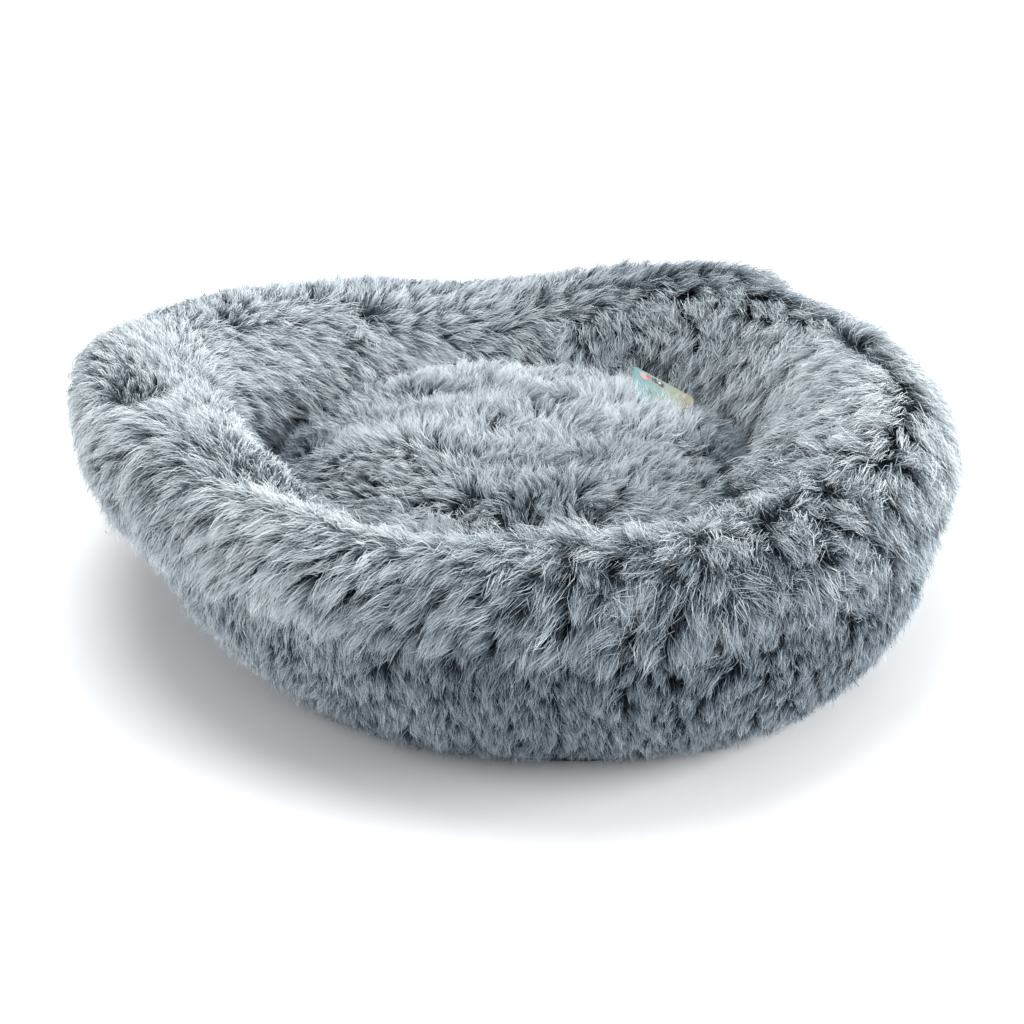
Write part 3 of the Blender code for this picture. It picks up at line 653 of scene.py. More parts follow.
# %% The cushion's body
CUSHION_RADIUS = 0.1462
CUSHION_SEAM_Z = 0.052
CUSHION_CROWN = 0.046
CUSHION_BELLY = 0.048
CUSHION_ROUNDNESS = 2.6
PAD_SWELL = 0.006                  # the furthest that the cloth solver may move a point


def cushion_height(x, y, rise, inset=0.0):
    """How far the cushion's face is above or below its seam."""
    share = np.clip(np.hypot(x, y) / (CUSHION_RADIUS - inset), 0, 1)
    return rise * np.sqrt(np.clip(1 - share**CUSHION_ROUNDNESS, 0, None))


def cushion_form(inset):
    """The cushion as rings of points from the top's middle, over the seam, to the underside's middle."""
    around = np.radians(np.arange(0, 360, 6))
    shares = np.sin(np.radians(np.linspace(6, 90, 12)))
    verts, radius = [(0.0, 0.0, CUSHION_SEAM_Z + CUSHION_CROWN - inset)], CUSHION_RADIUS - inset
    rings = [(s, CUSHION_CROWN - inset) for s in shares]
    rings += [(s, -(CUSHION_SEAM_Z - 0.0114 - inset)) for s in shares[-2::-1]]
    for share, rise in rings:
        z = CUSHION_SEAM_Z + rise * math.sqrt(max(0.0, 1 - share**CUSHION_ROUNDNESS))
        verts += [(share * radius * math.cos(a), share * radius * math.sin(a), z) for a in around]
    verts.append((0.0, 0.0, 0.0114 + inset))
    count, many = len(around), len(rings)
    faces = [(0, 1 + i, 1 + (i + 1) % count) for i in range(count)]
    for ring in range(many - 1):
        a, b = 1 + ring * count, 1 + (ring + 1) * count
        faces += [(a + i, b + i, b + (i + 1) % count, a + (i + 1) % count) for i in range(count)]
    last = 1 + (many - 1) * count
    faces += [(last + (i + 1) % count, last + i, len(verts) - 1) for i in range(count)]
    return verts, faces


def blown_up(piece, voxel, frames=20):
    """Remeshes a closed piece and lets the cloth solver fill it. The result is applied, and no point
    moves further than PAD_SWELL."""
    bpy.context.view_layer.objects.active = piece
    remesh = piece.modifiers.new("even", "REMESH")
    remesh.mode = "VOXEL"
    remesh.voxel_size = voxel
    bpy.ops.object.select_all(action="DESELECT")
    piece.select_set(True)
    bpy.ops.object.modifier_apply(modifier="even")
    start = np.array([v.co for v in piece.data.vertices])
    cloth = piece.modifiers.new("air", "CLOTH")
    cloth.settings.use_pressure = True
    cloth.settings.uniform_pressure_force = 4.0
    cloth.settings.effector_weights.gravity = 0.0
    cloth.settings.quality = 5
    scene = bpy.context.scene
    for number in range(1, frames + 1):
        scene.frame_set(number)
    grown = piece.evaluated_get(bpy.context.evaluated_depsgraph_get()).to_mesh()
    end = np.array([v.co for v in grown.vertices])
    piece.modifiers.remove(cloth)
    scene.frame_set(1)
    moved = end - start
    far = np.linalg.norm(moved, axis=1, keepdims=True)
    moved *= np.minimum(1.0, PAD_SWELL / np.maximum(far, 1e-9))
    piece.data.vertices.foreach_set("co", (start + moved).astype(np.float32).ravel())
    print("  blown up: moved", round(1000 * float(far.mean()), 1), "mm on average before the limit")
    smooth = piece.modifiers.new("finer", "SUBSURF")
    smooth.levels = smooth.render_levels = 1
    bpy.ops.object.modifier_apply(modifier="finer")
    piece.data.polygons.foreach_set("use_smooth", [True] * len(piece.data.polygons))
    piece.data.update()


def plain_cloth(name, low, high, thread):
    """A plain weave from two crossed waves, in metres and so at its real scale."""
    material, tree, principled = shader(name, 0.8, 0.2)
    place = add(tree, "ShaderNodeTexCoord").outputs["Object"]
    warp = add(tree, "ShaderNodeTexWave", {"Vector": place, "Scale": thread}, bands_direction="X")
    weft = add(tree, "ShaderNodeTexWave", {"Vector": place, "Scale": thread}, bands_direction="Y")
    weave = add(tree, "ShaderNodeMath", {0: warp.outputs["Fac"], 1: weft.outputs["Fac"]}, operation="MAXIMUM")
    slub = add(tree, "ShaderNodeTexNoise", {"Vector": place, "Scale": 40.0, "Detail": 4.0})
    tone = add(tree, "ShaderNodeMath", {0: weave.outputs[0], 1: slub.outputs["Fac"]}, operation="MULTIPLY")
    tree.links.new(ramp(tree, tone.outputs[0], [(0.15, low), (0.65, high)]), principled.inputs["Base Color"])
    raised = add(tree, "ShaderNodeBump", {"Height": weave.outputs[0], "Strength": 0.5, "Distance": 0.0003})
    tree.links.new(raised.outputs["Normal"], principled.inputs["Normal"])
    return material


BASE_CLOTH = plain_cloth("base_cloth", (0.030, 0.036, 0.042), (0.075, 0.085, 0.095), 320.0)
verts, faces = cushion_form(0.008)
cushion = mesh_piece("cushion_body", verts, faces, BACKING, "cushion")
blown_up(cushion, 0.005)
cushion.data.materials.append(BASE_CLOTH)
low_side = [p.center.z < CUSHION_SEAM_Z for p in cushion.data.polygons]
cushion.data.polygons.foreach_set("material_index", [int(v) for v in low_side])
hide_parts("cushion_fur_top", "cushion_base_cloth", "cushion_inner_bag", "cushion_stuffing")
print("cushion body:", len(cushion.data.polygons), "faces")

# %% The cushion's pile
LOCKS_ON_CUSHION = 8000
BARE_POINT = (0.0, -0.116)         # where the pile parts, near the front
ROOT_INSET = 0.006                 # how far under the crown the pile is planted
PILE_REACH = -0.004                # the pile's outline passes the seam by this much
CARD_FOOT = np.array([0.078, 0.036, 0.080])   # the pile here stands over the tag's lower side


def grow_cushion():
    tries = np.arange(1, LOCKS_ON_CUSHION + 1)
    radius = (CUSHION_RADIUS + 0.002) * np.sqrt((tries * 0.7548776662) % 1)
    around = 2 * math.pi * ((tries * 0.5698402910) % 1)
    x, y = radius * np.cos(around), radius * np.sin(around)
    z = CUSHION_SEAM_Z + cushion_height(x, y, CUSHION_CROWN - ROOT_INSET, PILE_REACH)
    small = 0.001

    def height(x, y):
        return cushion_height(x, y, CUSHION_CROWN, PILE_REACH)

    dx = height(x + small, y) - height(x - small, y)
    dy = height(x, y + small) - height(x, y - small)
    normal = unit(np.stack([-dx / (2 * small), -dy / (2 * small), np.ones_like(x)], axis=-1))
    from_bare = np.stack([x - BARE_POINT[0], y - BARE_POINT[1]], axis=-1)
    apart = np.linalg.norm(from_bare, axis=1)
    dent = 0.014 * np.exp(-((apart / 0.024) ** 2))
    dent = dent + 0.003 * ripple(np.stack([x, y, 0 * x], axis=-1), 14, 0.022)
    valley = np.abs((x + 0.085) * 0.42 + (y + 0.070) * 0.91)
    dent = dent + 0.007 * np.exp(-((valley / 0.012) ** 2)) * (x < 0.0) * (x > -0.11)
    root = np.stack([x, y, z - dent], axis=-1)
    flat = np.concatenate([from_bare / np.maximum(apart, 1e-6)[:, None], np.zeros((len(x), 1))], axis=1)
    flat[:, 1] += 0.25
    swirl = 1.4 * ripple(root, 15, 0.012) + 0.55 * rng.normal(size=len(x))
    turned = np.stack([
        flat[:, 0] * np.cos(swirl) - flat[:, 1] * np.sin(swirl),
        flat[:, 0] * np.sin(swirl) + flat[:, 1] * np.cos(swirl),
        np.zeros_like(x),
    ], axis=-1)
    lay = unit(turned - normal * (turned * normal).sum(axis=1, keepdims=True))
    count = len(x)
    length = (0.024 + 0.002 * ripple(root, 17, 0.02)) * rng.uniform(0.8, 1.15, count)
    at_card = np.exp(-((np.linalg.norm(root - CARD_FOOT, axis=1) / 0.026) ** 2))
    length = length + 0.011 * at_card
    lay = unit(lay + at_card[:, None] * np.array([-0.3, 1.2, 0.6]))
    rise = 14 + 10 * ripple(root, 16, 0.009) + 7 * rng.normal(size=count)
    fall = 62 + 12 * rng.normal(size=count) + 22 * np.exp(-((apart / 0.05) ** 2))
    droop = np.full(count, 0.12)
    spread = np.full(count, 0.0018)
    gather = np.clip(0.86 + 0.07 * rng.normal(size=count), 0.3, 0.97)
    wild = np.full(count, 0.05)
    tone = 0.45 + 0.12 * ripple(root, 19, 0.018) + 0.08 * rng.normal(size=count)
    # Darker where the pile parts near the front: partly painted shade in the dent, partly the dark roots that
    # show there.
    tone = tone - 0.45 * np.exp(-((apart / 0.02) ** 2))
    bearing = np.degrees(around)
    # Painted shade: the cushion's rim is darker at the left and the right, in the gaps against the wall.
    painted_rim_shade = np.clip((radius - 0.118) / 0.02, 0, 1)
    tone = tone - 0.8 * painted_rim_shade * (near(bearing, 166, 28) + near(bearing, 2, 26))
    lines = lock_lines(root, normal, lay, length, rise, fall, droop)
    lines = gather_tufts(lines, 7, np.full(count, 0.40))
    points, facing, width, shade = fibres(lines, normal, length, tone, PER_LOCK, spread, gather, wild)
    parts = np.array_split(np.arange(len(points)), max(1, math.ceil(len(points) / MOST_FIBRES)))
    for number, part in enumerate(parts):
        fur_piece(f"cushion_fur_{number + 1}", points[part], facing[part], width[part] * FIBRE_WIDTH,
                  shade[part], PILE, "cushion")
    print("cushion pile:", len(points), "fibres in", len(parts), "pieces")


grow_cushion()

# %% [markdown]
# Thread shows wherever the cloth is sewn. A stitch is a short spindle of thread, so a seam is a row of
# spindles laid along a path. One helper makes the row, and every seam below uses it.

# %% Rows of stitches
STITCH_SIDES = 6


def thread_material(name, colour):
    """Twisted thread: fine slanted bands, and a soft sheen that is the same all over."""
    material, tree, principled = shader(name, 0.55, 0.3)
    place = add(tree, "ShaderNodeTexCoord").outputs["Object"]
    twist = add(tree, "ShaderNodeTexWave", {"Vector": place, "Scale": 1800.0}, bands_direction="DIAGONAL")
    dark = tuple(0.55 * c for c in colour)
    colours = ramp(tree, twist.outputs["Fac"], [(0.2, dark), (0.8, colour)])
    tree.links.new(colours, principled.inputs["Base Color"])
    raised = add(tree, "ShaderNodeBump",
                 {"Height": twist.outputs["Fac"], "Strength": 0.5, "Distance": 0.0001})
    tree.links.new(raised.outputs["Normal"], principled.inputs["Normal"])
    return material


DARK_THREAD = thread_material("dark_thread", (0.10, 0.115, 0.13))


def stitches(name, path, length, gap, thickness, material, body):
    """A row of stitches along a path of points, each lying on the path's line."""
    path = np.asarray(path, float)
    steps = np.linalg.norm(np.diff(path, axis=0), axis=1)
    travelled = np.concatenate([[0.0], np.cumsum(steps)])
    starts = np.arange(0.0, travelled[-1] - length, length + gap)
    verts, faces = [], []
    for start in starts:
        a, b = (
            np.array([np.interp(start + part, travelled, path[:, k]) for k in range(3)])
            for part in (0.0, length)
        )
        along = unit(b - a)
        side = unit(np.cross(along, (0.31, 0.17, 0.93)))
        other = np.cross(along, side)
        first = len(verts)
        verts.append(a)
        for share in (0.25, 0.75):
            for k in range(STITCH_SIDES):
                turn = 2 * math.pi * k / STITCH_SIDES
                off = (side * math.cos(turn) + other * math.sin(turn)) * thickness / 2
                verts.append(a + (b - a) * share + off)
        verts.append(b)
        for k in range(STITCH_SIDES):
            n = (k + 1) % STITCH_SIDES
            near_end, far_end = first + 1, first + 1 + STITCH_SIDES
            faces.append((first, near_end + n, near_end + k))
            faces.append((near_end + k, near_end + n, far_end + n, far_end + k))
            faces.append((far_end + k, far_end + n, far_end + STITCH_SIDES))
    return mesh_piece(name, verts, faces, material, body)


# %% [markdown]
# The cushion's two halves are sewn edge to edge, and a covered cord is caught in the seam. It shows when
# the cushion is lifted out.

# %% The cushion's piped edge


def tube_ring(name, path, radius, sides, material, body):
    """A closed tube round the Z axis along a closed path of points."""
    path = np.asarray(path, float)
    verts = []
    for point in path:
        out = unit(np.array([point[0], point[1], 0.0]))
        for k in range(sides):
            turn = 2 * math.pi * k / sides
            verts.append(point + radius * (out * math.cos(turn) + np.array([0, 0, math.sin(turn)])))
    count = len(path)
    faces = [
        (r * sides + c, r * sides + (c + 1) % sides,
         (r + 1) % count * sides + (c + 1) % sides, (r + 1) % count * sides + c)
        for r in range(count)
        for c in range(sides)
    ]
    return mesh_piece(name, verts, faces, material, body)


PIPING_RADIUS = 0.0016


def circle_path(radius, z, count):
    around = np.linspace(0, 2 * math.pi, count, endpoint=False)
    return np.stack([radius * np.cos(around), radius * np.sin(around), np.full(count, z)], axis=-1)


edge_radius = CUSHION_RADIUS - 0.0022
tube_ring("cushion_piping", circle_path(edge_radius, CUSHION_SEAM_Z, 180), PIPING_RADIUS, 8,
          BASE_CLOTH, "cushion")
stitches("cushion_edge_stitches", circle_path(edge_radius - 0.0035, CUSHION_SEAM_Z - 0.0075, 361),
         0.0032, 0.0014, 0.0006, DARK_THREAD, "cushion")
print("piping: radius", round(1000 * edge_radius, 1), "mm")

# %% [markdown]
# The well's floor is a thin quilted sandwich: lining cloth over flat wadding, sewn through in diamonds.
# The puffs are real shape. Each point's height comes from how far it is from the nearest quilting line.

# %% The quilted floor of the well
QUILT = 0.042                      # distance between quilting lines
QUILT_DEPTH = 0.0026               # how far a line is pulled in
LINING_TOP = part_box("floor_lining")[1].z
WADDING_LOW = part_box("base_wadding")[0].z
LINING = plain_cloth("lining_cloth", (0.085, 0.098, 0.108), (0.175, 0.192, 0.205), 260.0)


def node_outline(node, count):
    """The outline of a flat CAD node, as its furthest radius at evenly spaced angles."""
    co = np.array([v.co for v in frame["nodes"][node].data.vertices])
    angle, radius = np.arctan2(co[:, 1], co[:, 0]), np.hypot(co[:, 0], co[:, 1])
    order = np.argsort(angle)
    angle, radius = angle[order], radius[order]
    around = np.linspace(-math.pi, math.pi, count, endpoint=False)
    return around, np.interp(around, angle, radius, period=2 * math.pi)


def quilt_depth(x, y):
    """0 on top of a puff, 1 on a quilting line."""
    one = np.abs(np.sin(math.pi * (x + y) / (QUILT * math.sqrt(2))))
    two = np.abs(np.sin(math.pi * (x - y) / (QUILT * math.sqrt(2))))
    return 1 - np.minimum(one, two) ** 0.45


def quilted_floor():
    around, edge = node_outline("floor_lining", 240)
    shares = np.linspace(0, 1, 90)[1:]
    x = shares[:, None] * edge * np.cos(around)
    y = shares[:, None] * edge * np.sin(around)
    close = np.clip((1 - shares) / 0.04, 0, 1)[:, None]
    top = LINING_TOP - QUILT_DEPTH * quilt_depth(x, y) * close - 0.003 * (1 - close) ** 2
    low = np.full_like(top, WADDING_LOW) + 0.0002
    upper = np.stack([x, y, top], axis=-1)
    lower = np.stack([x, y, low], axis=-1)[::-1]
    rows = np.concatenate([upper, lower])
    middles = [[0, 0, LINING_TOP - QUILT_DEPTH]], [[0, 0, WADDING_LOW + 0.0002]]
    verts = np.concatenate([middles[0], rows.reshape(-1, 3), middles[1]])
    count, many = len(around), len(rows)
    faces = [tuple(1 + i for i in quad) for quad in grid_faces(many, count, loop=True)]
    faces = [quad[::-1] for quad in faces]
    faces += [(0, 1 + i, 1 + (i + 1) % count) for i in range(count)]
    last = 1 + (many - 1) * count
    faces += [(last + (i + 1) % count, last + i, len(verts) - 1) for i in range(count)]
    piece = mesh_piece("well_floor_quilt", verts, faces, LINING, "bed")
    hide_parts("floor_lining", "base_wadding")
    return around, edge


floor_around, floor_edge = quilted_floor()


def quilt_lines():
    """The stitched lines of the quilting, each cut to the floor's outline."""
    reach, made = 0.92 * float(floor_edge.min()), 0
    for slant in (1, -1):
        for number in range(-4, 5):
            off = number * QUILT
            if abs(off) > reach - 0.01:
                continue
            half = math.sqrt(reach**2 - off**2)
            run = np.linspace(-half, half, 40)
            x = (run + slant * off) / math.sqrt(2)
            y = (slant * run - off) / math.sqrt(2)
            z = LINING_TOP - QUILT_DEPTH * quilt_depth(x, y) + 0.0002
            stitches(f"quilt_stitches_{'a' if slant > 0 else 'b'}{number + 5}", np.stack([x, y, z], axis=-1),
                     0.0030, 0.0012, 0.0005, DARK_THREAD, "bed")
            made += 1
    return made


print("quilted floor:", quilt_lines(), "stitched lines")

# %% [markdown]
# The bed stands on a plain woven cloth with small rubber grip dots. The cloth is one flat sheet that is
# stretched by the seam round its edge, so it is built flat, given its thickness by a modifier, and held a
# little off the floor by the dots. A folded tape closes the seam.

# %% The base cloth, its grip dots and its binding
DOT_RADIUS = 0.0022
DOT_PITCH = 0.015
BASE_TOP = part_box("base_panel")[1].z
BASE_THICKNESS = 0.0008


def rubber_material():
    material, tree, principled = shader("grip_rubber", 0.65, 0.4)
    place = add(tree, "ShaderNodeTexCoord").outputs["Object"]
    worn = add(tree, "ShaderNodeTexNoise", {"Vector": place, "Scale": 260.0, "Detail": 4.0})
    tree.links.new(
        ramp(tree, worn.outputs["Fac"], [(0.3, (0.010, 0.011, 0.012)), (0.7, (0.030, 0.032, 0.035))]),
        principled.inputs["Base Color"],
    )
    raised = add(tree, "ShaderNodeBump", {"Height": worn.outputs["Fac"], "Strength": 0.3, "Distance": 0.0002})
    tree.links.new(raised.outputs["Normal"], principled.inputs["Normal"])
    return material


def base_sheet():
    around, edge = node_outline("base_panel", 180)
    shares = np.linspace(0, 1, 40)[1:]
    x = shares[:, None] * edge * np.cos(around)
    y = shares[:, None] * edge * np.sin(around)
    places = np.stack([x, y, 0 * x], axis=-1).reshape(-1, 3)
    rumple = 0.00012 * ripple(places, 31, 0.02) * np.repeat(1 - shares**6, len(around))
    places[:, 2] = BASE_TOP - 0.0004 + rumple
    verts = np.concatenate([[[0, 0, BASE_TOP - 0.0004]], places])
    count = len(around)
    faces = [tuple(1 + i for i in quad)[::-1] for quad in grid_faces(len(shares), count, loop=True)]
    faces += [(0, 1 + i, 1 + (i + 1) % count) for i in range(count)]
    sheet = mesh_piece("base_cloth_sheet", verts, faces, BASE_CLOTH, "bed")
    thick = sheet.modifiers.new("cloth", "SOLIDIFY")
    thick.thickness = BASE_THICKNESS
    thick.offset = -1.0
    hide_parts("base_panel")
    flat_area = 0.5 * float((edge * np.roll(edge, -1)).sum()) * math.sin(2 * math.pi / count)
    wide, long = float(np.ptp(x)), float(np.ptp(y))
    return around, edge, (wide, long, flat_area)


def grip_dots(around, edge):
    """Low domes in staggered rows under the base cloth."""
    verts, faces, made = [], [], 0
    sides, rings = 10, ((1.0, 0.0), (0.85, 0.55), (0.45, 0.9))
    top, tall = BASE_TOP - BASE_THICKNESS, BASE_TOP - BASE_THICKNESS - 0.0001
    for row in range(-18, 19):
        for column in range(-18, 19):
            x, y = DOT_PITCH * (column + 0.5 * (row % 2)), DOT_PITCH * 0.866 * row
            limit = np.interp(math.atan2(y, x), around, edge, period=2 * math.pi) - 0.016
            if math.hypot(x, y) > limit:
                continue
            first = len(verts)
            for share, drop in rings:
                for k in range(sides):
                    turn = 2 * math.pi * k / sides
                    verts.append((x + DOT_RADIUS * share * math.cos(turn),
                                  y + DOT_RADIUS * share * math.sin(turn), top - tall * drop))
            verts.append((x, y, top - tall))
            for ring in range(2):
                for k in range(sides):
                    a, b = first + ring * sides, first + (ring + 1) * sides
                    faces.append((a + k, b + k, b + (k + 1) % sides, a + (k + 1) % sides))
            a = first + 2 * sides
            faces += [(a + k, len(verts) - 1, a + (k + 1) % sides) for k in range(sides)]
            faces.append(tuple(first + k for k in range(sides)))
            made += 1
    mesh_piece("grip_dots", verts, faces, rubber_material(), "bed")
    return made


base_around, base_edge, base_size = base_sheet()
dots = grip_dots(base_around, base_edge)
print("base cloth:", [round(v, 4) for v in base_size], "with", dots, "dots")


def seam_binding():
    """A folded tape over the base seam, slightly gathered, with a row of stitches along it."""
    around, edge = base_around, base_edge
    low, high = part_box("base_seam_binding")
    middle, half = (low.z + high.z) / 2, (high.z - low.z) / 2
    gather = 1 + 0.12 * np.sin(around * 46) + 0.08 * np.sin(around * 71 + 1.3)
    section = [(0.0, 0.0), (0.0006, 0.8), (0.002, 1.0), (0.0105, 0.85), (0.012, 0.0), (0.0105, -0.85),
               (0.002, -1.0), (0.0006, -0.8)]
    verts = []
    for angle, radius, puff in zip(around, edge, gather):
        for inset, rise in section:
            r = radius - inset
            verts.append((r * math.cos(angle), r * math.sin(angle), middle + half * rise * min(1.0, puff)))
    count, sides = len(around), len(section)
    faces = [
        (r * sides + c, r * sides + (c + 1) % sides,
         (r + 1) % count * sides + (c + 1) % sides, (r + 1) % count * sides + c)
        for r in range(count)
        for c in range(sides)
    ]
    piece = mesh_piece("base_binding_tape", verts, faces, LINING, "bed")
    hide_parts("base_seam_binding")
    line = np.stack([(edge - 0.009) * np.cos(around), (edge - 0.009) * np.sin(around),
                     np.full(count, high.z + 0.0001)], axis=-1)
    stitches("base_binding_stitches", np.concatenate([line, line[:1]]), 0.0034, 0.0014, 0.0005,
             DARK_THREAD, "bed")


seam_binding()

# %% [markdown]
# The care label is a strip of white satin caught in the base seam. It carries no print here. Satin shows
# fine lines along its length and bends easily, so the free end sinks to the floor.

# %% The care label


def satin_material():
    material, tree, principled = shader("label_satin", 0.32, 0.5)
    place = add(tree, "ShaderNodeTexCoord").outputs["Object"]
    lines = add(tree, "ShaderNodeTexWave", {"Vector": place, "Scale": 700.0, "Distortion": 0.4},
                bands_direction="DIAGONAL")
    tree.links.new(
        ramp(tree, lines.outputs["Fac"], [(0.2, (0.70, 0.70, 0.68)), (0.8, (0.86, 0.86, 0.85))]),
        principled.inputs["Base Color"],
    )
    raised = add(tree, "ShaderNodeBump",
                 {"Height": lines.outputs["Fac"], "Strength": 0.2, "Distance": 0.0001})
    tree.links.new(raised.outputs["Normal"], principled.inputs["Normal"])
    return material


LABEL_ANGLE = 150.0
LABEL_THICKNESS = 0.0004


def care_label():
    co = np.array([v.co for v in frame["nodes"]["care_label"].data.vertices])
    turn = math.radians(LABEL_ANGLE)
    out, side = np.array([math.cos(turn), math.sin(turn), 0]), np.array([-math.sin(turn), math.cos(turn), 0])
    start, end = (co @ out).min(), (co @ out).max()
    half, z = float(np.abs(co @ side).max()), float(co[:, 2].mean())
    rows, columns = 25, 13
    verts = []
    for i in range(rows):
        share = i / (rows - 1)
        for j in range(columns):
            across = 2 * j / (columns - 1) - 1
            sink = (z - 0.0008) * max(0.0, (share - 0.3) / 0.7) ** 1.5
            curl = 0.0005 * across**2 * share
            flat = out * (start + (end - start) * share) + side * half * across
            verts.append(flat + np.array([0, 0, z - sink + curl]))
    piece = mesh_piece("care_label_strip", verts, grid_faces(rows, columns), satin_material(),
                       "bed")
    thick = piece.modifiers.new("satin", "SOLIDIFY")
    thick.thickness = LABEL_THICKNESS
    thick.offset = 0.0
    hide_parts("care_label")
    return 2 * half, float(end - start)


print("care label:", [round(1000 * v, 1) for v in care_label()], "mm")

# %% [markdown]
# The card tag keeps its CAD shape, with its rounded corners and its hole. Its print is drawn by nodes in
# the card's own directions: a teal that fades to cream towards the hole, and a few plain soft spots. Three
# dot products turn a place on the card into distances along and across it.

# %% The swing tag's card and its loop
tag_joint = next(j for j in frame["joints"] if j["name"] == "tag_swing")


def card_axes():
    """The hole's place, and the card's directions along and across."""
    co = np.array([v.co for v in frame["nodes"]["swing_tag"].data.vertices])
    middle = (co.max(0) + co.min(0)) / 2
    across = unit(np.array(tag_joint["axis"]))
    hole = np.array(tag_joint["pos_m"])
    along = middle - hole
    along = unit(along - across * (along @ across))
    return hole, along, across


def distance_along(tree, place, origin, direction):
    moved = add(tree, "ShaderNodeVectorMath", {0: place, 1: tuple(origin)}, operation="SUBTRACT")
    dotted = add(tree, "ShaderNodeVectorMath", {0: moved.outputs[0], 1: tuple(direction)},
                 operation="DOT_PRODUCT")
    return dotted.outputs["Value"]


CARD_SPOTS = [                     # along, across, radius in metres, colour
    (0.0365, 0.0125, 0.0042, (0.44, 0.32, 0.31)),
    (0.0325, 0.0140, 0.0026, (0.40, 0.12, 0.13)),
    (0.0275, 0.0135, 0.0030, (0.08, 0.06, 0.07)),
    (0.0225, 0.0130, 0.0034, (0.14, 0.06, 0.07)),
    (0.0235, 0.0138, 0.0014, (0.60, 0.56, 0.54)),
]


def card_material():
    material, tree, principled = shader("printed_card", 0.42, 0.45)
    place = add(tree, "ShaderNodeTexCoord").outputs["Object"]
    hole, along, across = card_axes()
    a = distance_along(tree, place, hole, along)
    b = distance_along(tree, place, hole, across)
    speck = add(tree, "ShaderNodeTexNoise", {"Vector": place, "Scale": 380.0, "Detail": 3.0})
    shake = add(tree, "ShaderNodeMath", {0: speck.outputs["Fac"], 1: 0.006}, operation="MULTIPLY")
    moved = add(tree, "ShaderNodeMath", {0: a, 1: shake.outputs[0]}, operation="ADD")
    share = add(tree, "ShaderNodeMath", {0: moved.outputs[0], 1: 1 / 0.048}, operation="MULTIPLY")
    colour = ramp(tree, share.outputs[0], [
        (0.0, (0.38, 0.35, 0.23)), (0.25, (0.33, 0.36, 0.26)), (0.5, (0.24, 0.34, 0.30)),
        (0.8, (0.155, 0.285, 0.275)), (1.0, (0.135, 0.26, 0.26)),
    ])
    for at, aside, radius, spot in CARD_SPOTS:
        da = add(tree, "ShaderNodeMath", {0: a, 1: at}, operation="SUBTRACT").outputs[0]
        db = add(tree, "ShaderNodeMath", {0: b, 1: aside}, operation="SUBTRACT").outputs[0]
        square = add(tree, "ShaderNodeMath", {0: da, 1: da}, operation="MULTIPLY").outputs[0]
        other = add(tree, "ShaderNodeMath", {0: db, 1: db}, operation="MULTIPLY").outputs[0]
        total = add(tree, "ShaderNodeMath", {0: square, 1: other}, operation="ADD").outputs[0]
        inside = add(tree, "ShaderNodeMapRange", {
            0: total, 1: (0.75 * radius) ** 2, 2: radius**2, 3: 1.0, 4: 0.0,
        }).outputs[0]
        mixed = add(tree, "ShaderNodeMix", {0: inside, 6: colour, 7: (*spot, 1.0)}, data_type="RGBA")
        colour = mixed.outputs[2]
    tree.links.new(colour, principled.inputs["Base Color"])
    fibre = add(tree, "ShaderNodeBump",
                {"Height": speck.outputs["Fac"], "Strength": 0.15, "Distance": 0.0001})
    tree.links.new(fibre.outputs["Normal"], principled.inputs["Normal"])
    return material


def plastic_material():
    material, tree, principled = shader("clear_loop", 0.22, 0.5)
    place = add(tree, "ShaderNodeTexCoord").outputs["Object"]
    flow = add(tree, "ShaderNodeTexNoise", {"Vector": place, "Scale": 500.0, "Detail": 2.0})
    tree.links.new(
        ramp(tree, flow.outputs["Fac"], [(0.3, (0.70, 0.74, 0.76)), (0.7, (0.86, 0.89, 0.90))]),
        principled.inputs["Base Color"],
    )
    return material


def dress(node, material):
    """Gives a CAD node that stays in view its finish."""
    data = frame["nodes"][node].data
    data.materials.clear()
    data.materials.append(material)


dress("swing_tag", card_material())
dress("tag_fastener", plastic_material())
print("card: hole at", [round(v, 3) for v in card_axes()[0]])

# %% [markdown]
# The zip runs in the back wall, just above the floor, on an arc. Its slider, pull, pin and stops are true
# metal shapes already, so they keep their CAD form and get a brushed finish. The tapes and the rows of
# teeth are built here: woven tape with a raised edge, and one small moulded tooth after another.

# %% The zip's tapes, teeth and metal
ZIP_CENTRE = np.array([-0.00453, 0.04608, 0.0])
ZIP_RADIUS = 0.20215
ZIP_FIRST, ZIP_LAST = 63.11, 126.64
ZIP_LEAN = math.radians(35)
ZIP_MID_Z = 0.014994
TEETH_GAP = 0.0016
TEETH_EDGE = 0.0034
TOOTH_THICKNESS = 0.0020
TOOTH_PITCH = 0.0017


def metal_material():
    material, tree, principled = shader("brushed_steel", 0.32, 0.5)
    principled.inputs["Metallic"].default_value = 1.0
    place = add(tree, "ShaderNodeTexCoord").outputs["Object"]
    stretched = add(tree, "ShaderNodeMapping", {"Vector": place, "Scale": (400.0, 400.0, 4000.0)})
    brush = add(tree, "ShaderNodeTexNoise", {"Vector": stretched.outputs[0], "Scale": 1.0, "Detail": 3.0})
    tree.links.new(
        ramp(tree, brush.outputs["Fac"], [(0.3, (0.42, 0.43, 0.45)), (0.7, (0.62, 0.63, 0.65))]),
        principled.inputs["Base Color"],
    )
    rough = add(tree, "ShaderNodeMapRange", {0: brush.outputs["Fac"], 3: 0.25, 4: 0.42})
    tree.links.new(rough.outputs[0], principled.inputs["Roughness"])
    return material


def nylon_material(name, dark, light):
    material, tree, principled = shader(name, 0.4, 0.45)
    place = add(tree, "ShaderNodeTexCoord").outputs["Object"]
    cloudy = add(tree, "ShaderNodeTexNoise", {"Vector": place, "Scale": 320.0, "Detail": 3.0})
    colours = ramp(tree, cloudy.outputs["Fac"], [(0.3, dark), (0.7, light)])
    tree.links.new(colours, principled.inputs["Base Color"])
    return material


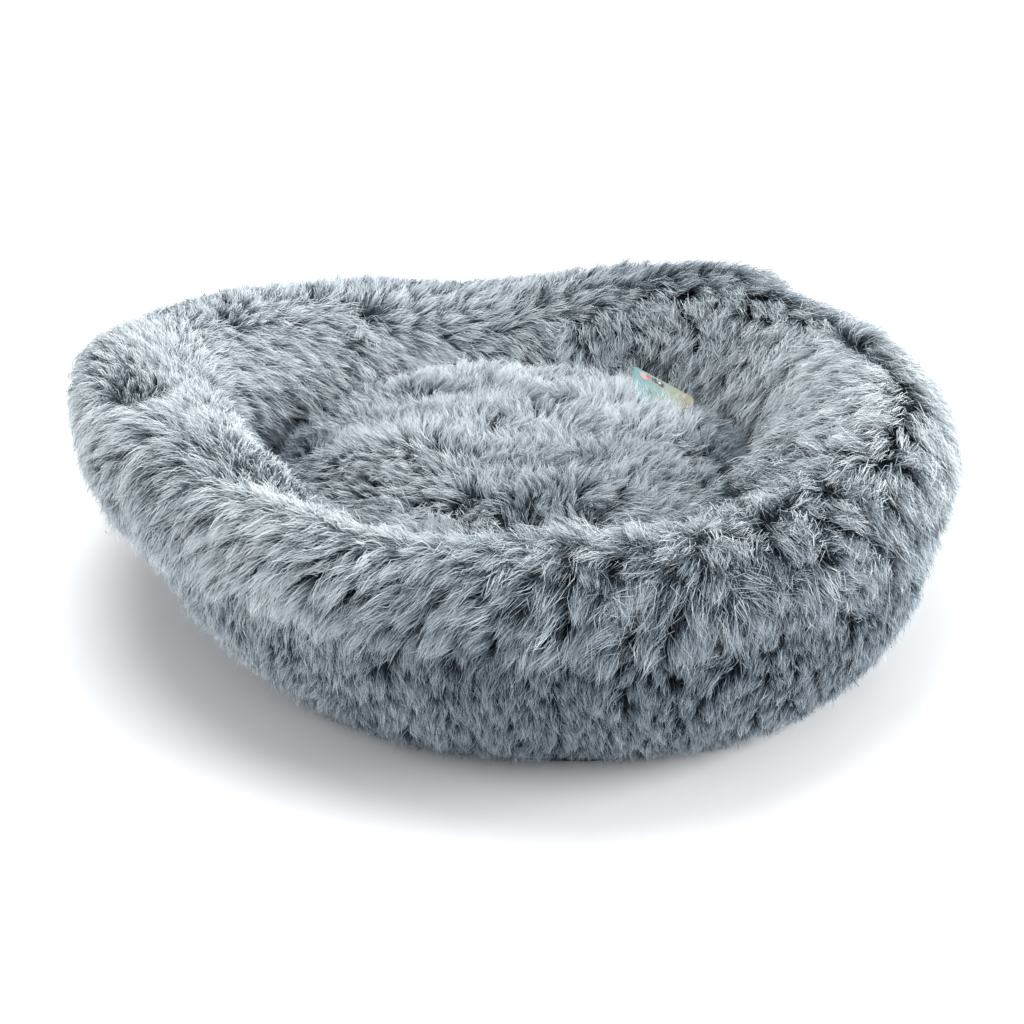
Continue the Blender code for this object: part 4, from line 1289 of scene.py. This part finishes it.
def on_slope(angle, off, up):
    """A point of the zip: off its plane outwards, and up its slope."""
    r = ZIP_RADIUS + off * math.cos(ZIP_LEAN) + up * math.sin(ZIP_LEAN)
    turn = math.radians(angle)
    z = ZIP_MID_Z + up * math.cos(ZIP_LEAN) - off * math.sin(ZIP_LEAN)
    return ZIP_CENTRE + np.array([r * math.cos(turn), r * math.sin(turn), z])


def zip_tape(name, start_up, end_up, node):
    """A tape with a thin rolled edge beside the teeth, and a row of stitches along its middle."""
    low, high = min(start_up, end_up), max(start_up, end_up)
    bead = high - 0.0006 if node.endswith("lower") else low + 0.0006
    section = []
    for k in range(9):
        up = low + (high - low) * k / 8
        section.append((0.00030 + 0.00035 * math.exp(-(((up - bead) / 0.0006) ** 2)), up))
    section += [(-off, up) for off, up in section[::-1]]
    angles = np.linspace(ZIP_FIRST - 0.8, ZIP_LAST + 0.8, 130)
    verts = [on_slope(angle, off, up) for angle in angles for off, up in section]
    faces = [quad[::-1] for quad in grid_faces(len(angles), len(section), loop=True)]
    last = (len(angles) - 1) * len(section)
    faces += [tuple(range(len(section))), tuple(last + k for k in range(len(section)))[::-1]]
    piece = mesh_piece(name, verts, faces, LINING, "bed")
    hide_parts(node)
    middle = (low + high) / 2
    line = [on_slope(angle, 0.00045, middle) for angle in angles[2:-2]]
    stitches(name + "_stitches", line, 0.0026, 0.0012, 0.0004, DARK_THREAD, "bed")


def zip_teeth(name, side, node, shift):
    """Teeth along one tape: a narrow neck at the tape and a rounded head towards the other row."""
    pitch = math.degrees(TOOTH_PITCH / ZIP_RADIUS)
    outline = [(0.0, 0.40), (0.45, 0.30), (0.62, 0.46), (0.90, 0.42), (1.0, 0.22)]
    outline += [(share, -width) for share, width in outline[::-1]]
    verts, faces = [], []
    angle = ZIP_FIRST + pitch * (0.5 + shift)
    while angle < ZIP_LAST - pitch * 0.5:
        first = len(verts)
        for off in (-TOOTH_THICKNESS / 2, TOOTH_THICKNESS / 2):
            for share, width in outline:
                up = side * (TEETH_EDGE + (TEETH_GAP / 2 - TEETH_EDGE) * share)
                verts.append(on_slope(angle + width * pitch, off * (1 - 0.15 * share), up))
        count = len(outline)
        ring = [(first + k, first + (k + 1) % count, first + count + (k + 1) % count, first + count + k)
                for k in range(count)]
        lids = [tuple(first + k for k in range(count))[::-1], tuple(first + count + k for k in range(count))]
        made = ring + lids
        faces += made if side < 0 else [face[::-1] for face in made]
        angle += pitch
    piece = mesh_piece(name, verts, faces, NYLON, "bed", smooth=False)
    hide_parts(node)
    return len(verts) // (2 * len(outline))


NYLON = nylon_material("moulded_nylon", (0.012, 0.014, 0.017), (0.035, 0.040, 0.046))
zip_tape("zip_tape_low", -0.0122, -TEETH_EDGE - 0.0003, "zip_tape_lower")
zip_tape("zip_tape_high", TEETH_EDGE + 0.0003, 0.0127, "zip_tape_upper")
teeth = (
    zip_teeth("zip_teeth_low", -1, "zip_teeth_lower", 0.0),
    zip_teeth("zip_teeth_high", 1, "zip_teeth_upper", 0.5),
)
STEEL = metal_material()
for node in ("zip_slider", "zip_pull", "zip_pull_pin", "zip_closed_stop", "zip_open_stop"):
    dress(node, STEEL)
print("zip:", teeth, "teeth")
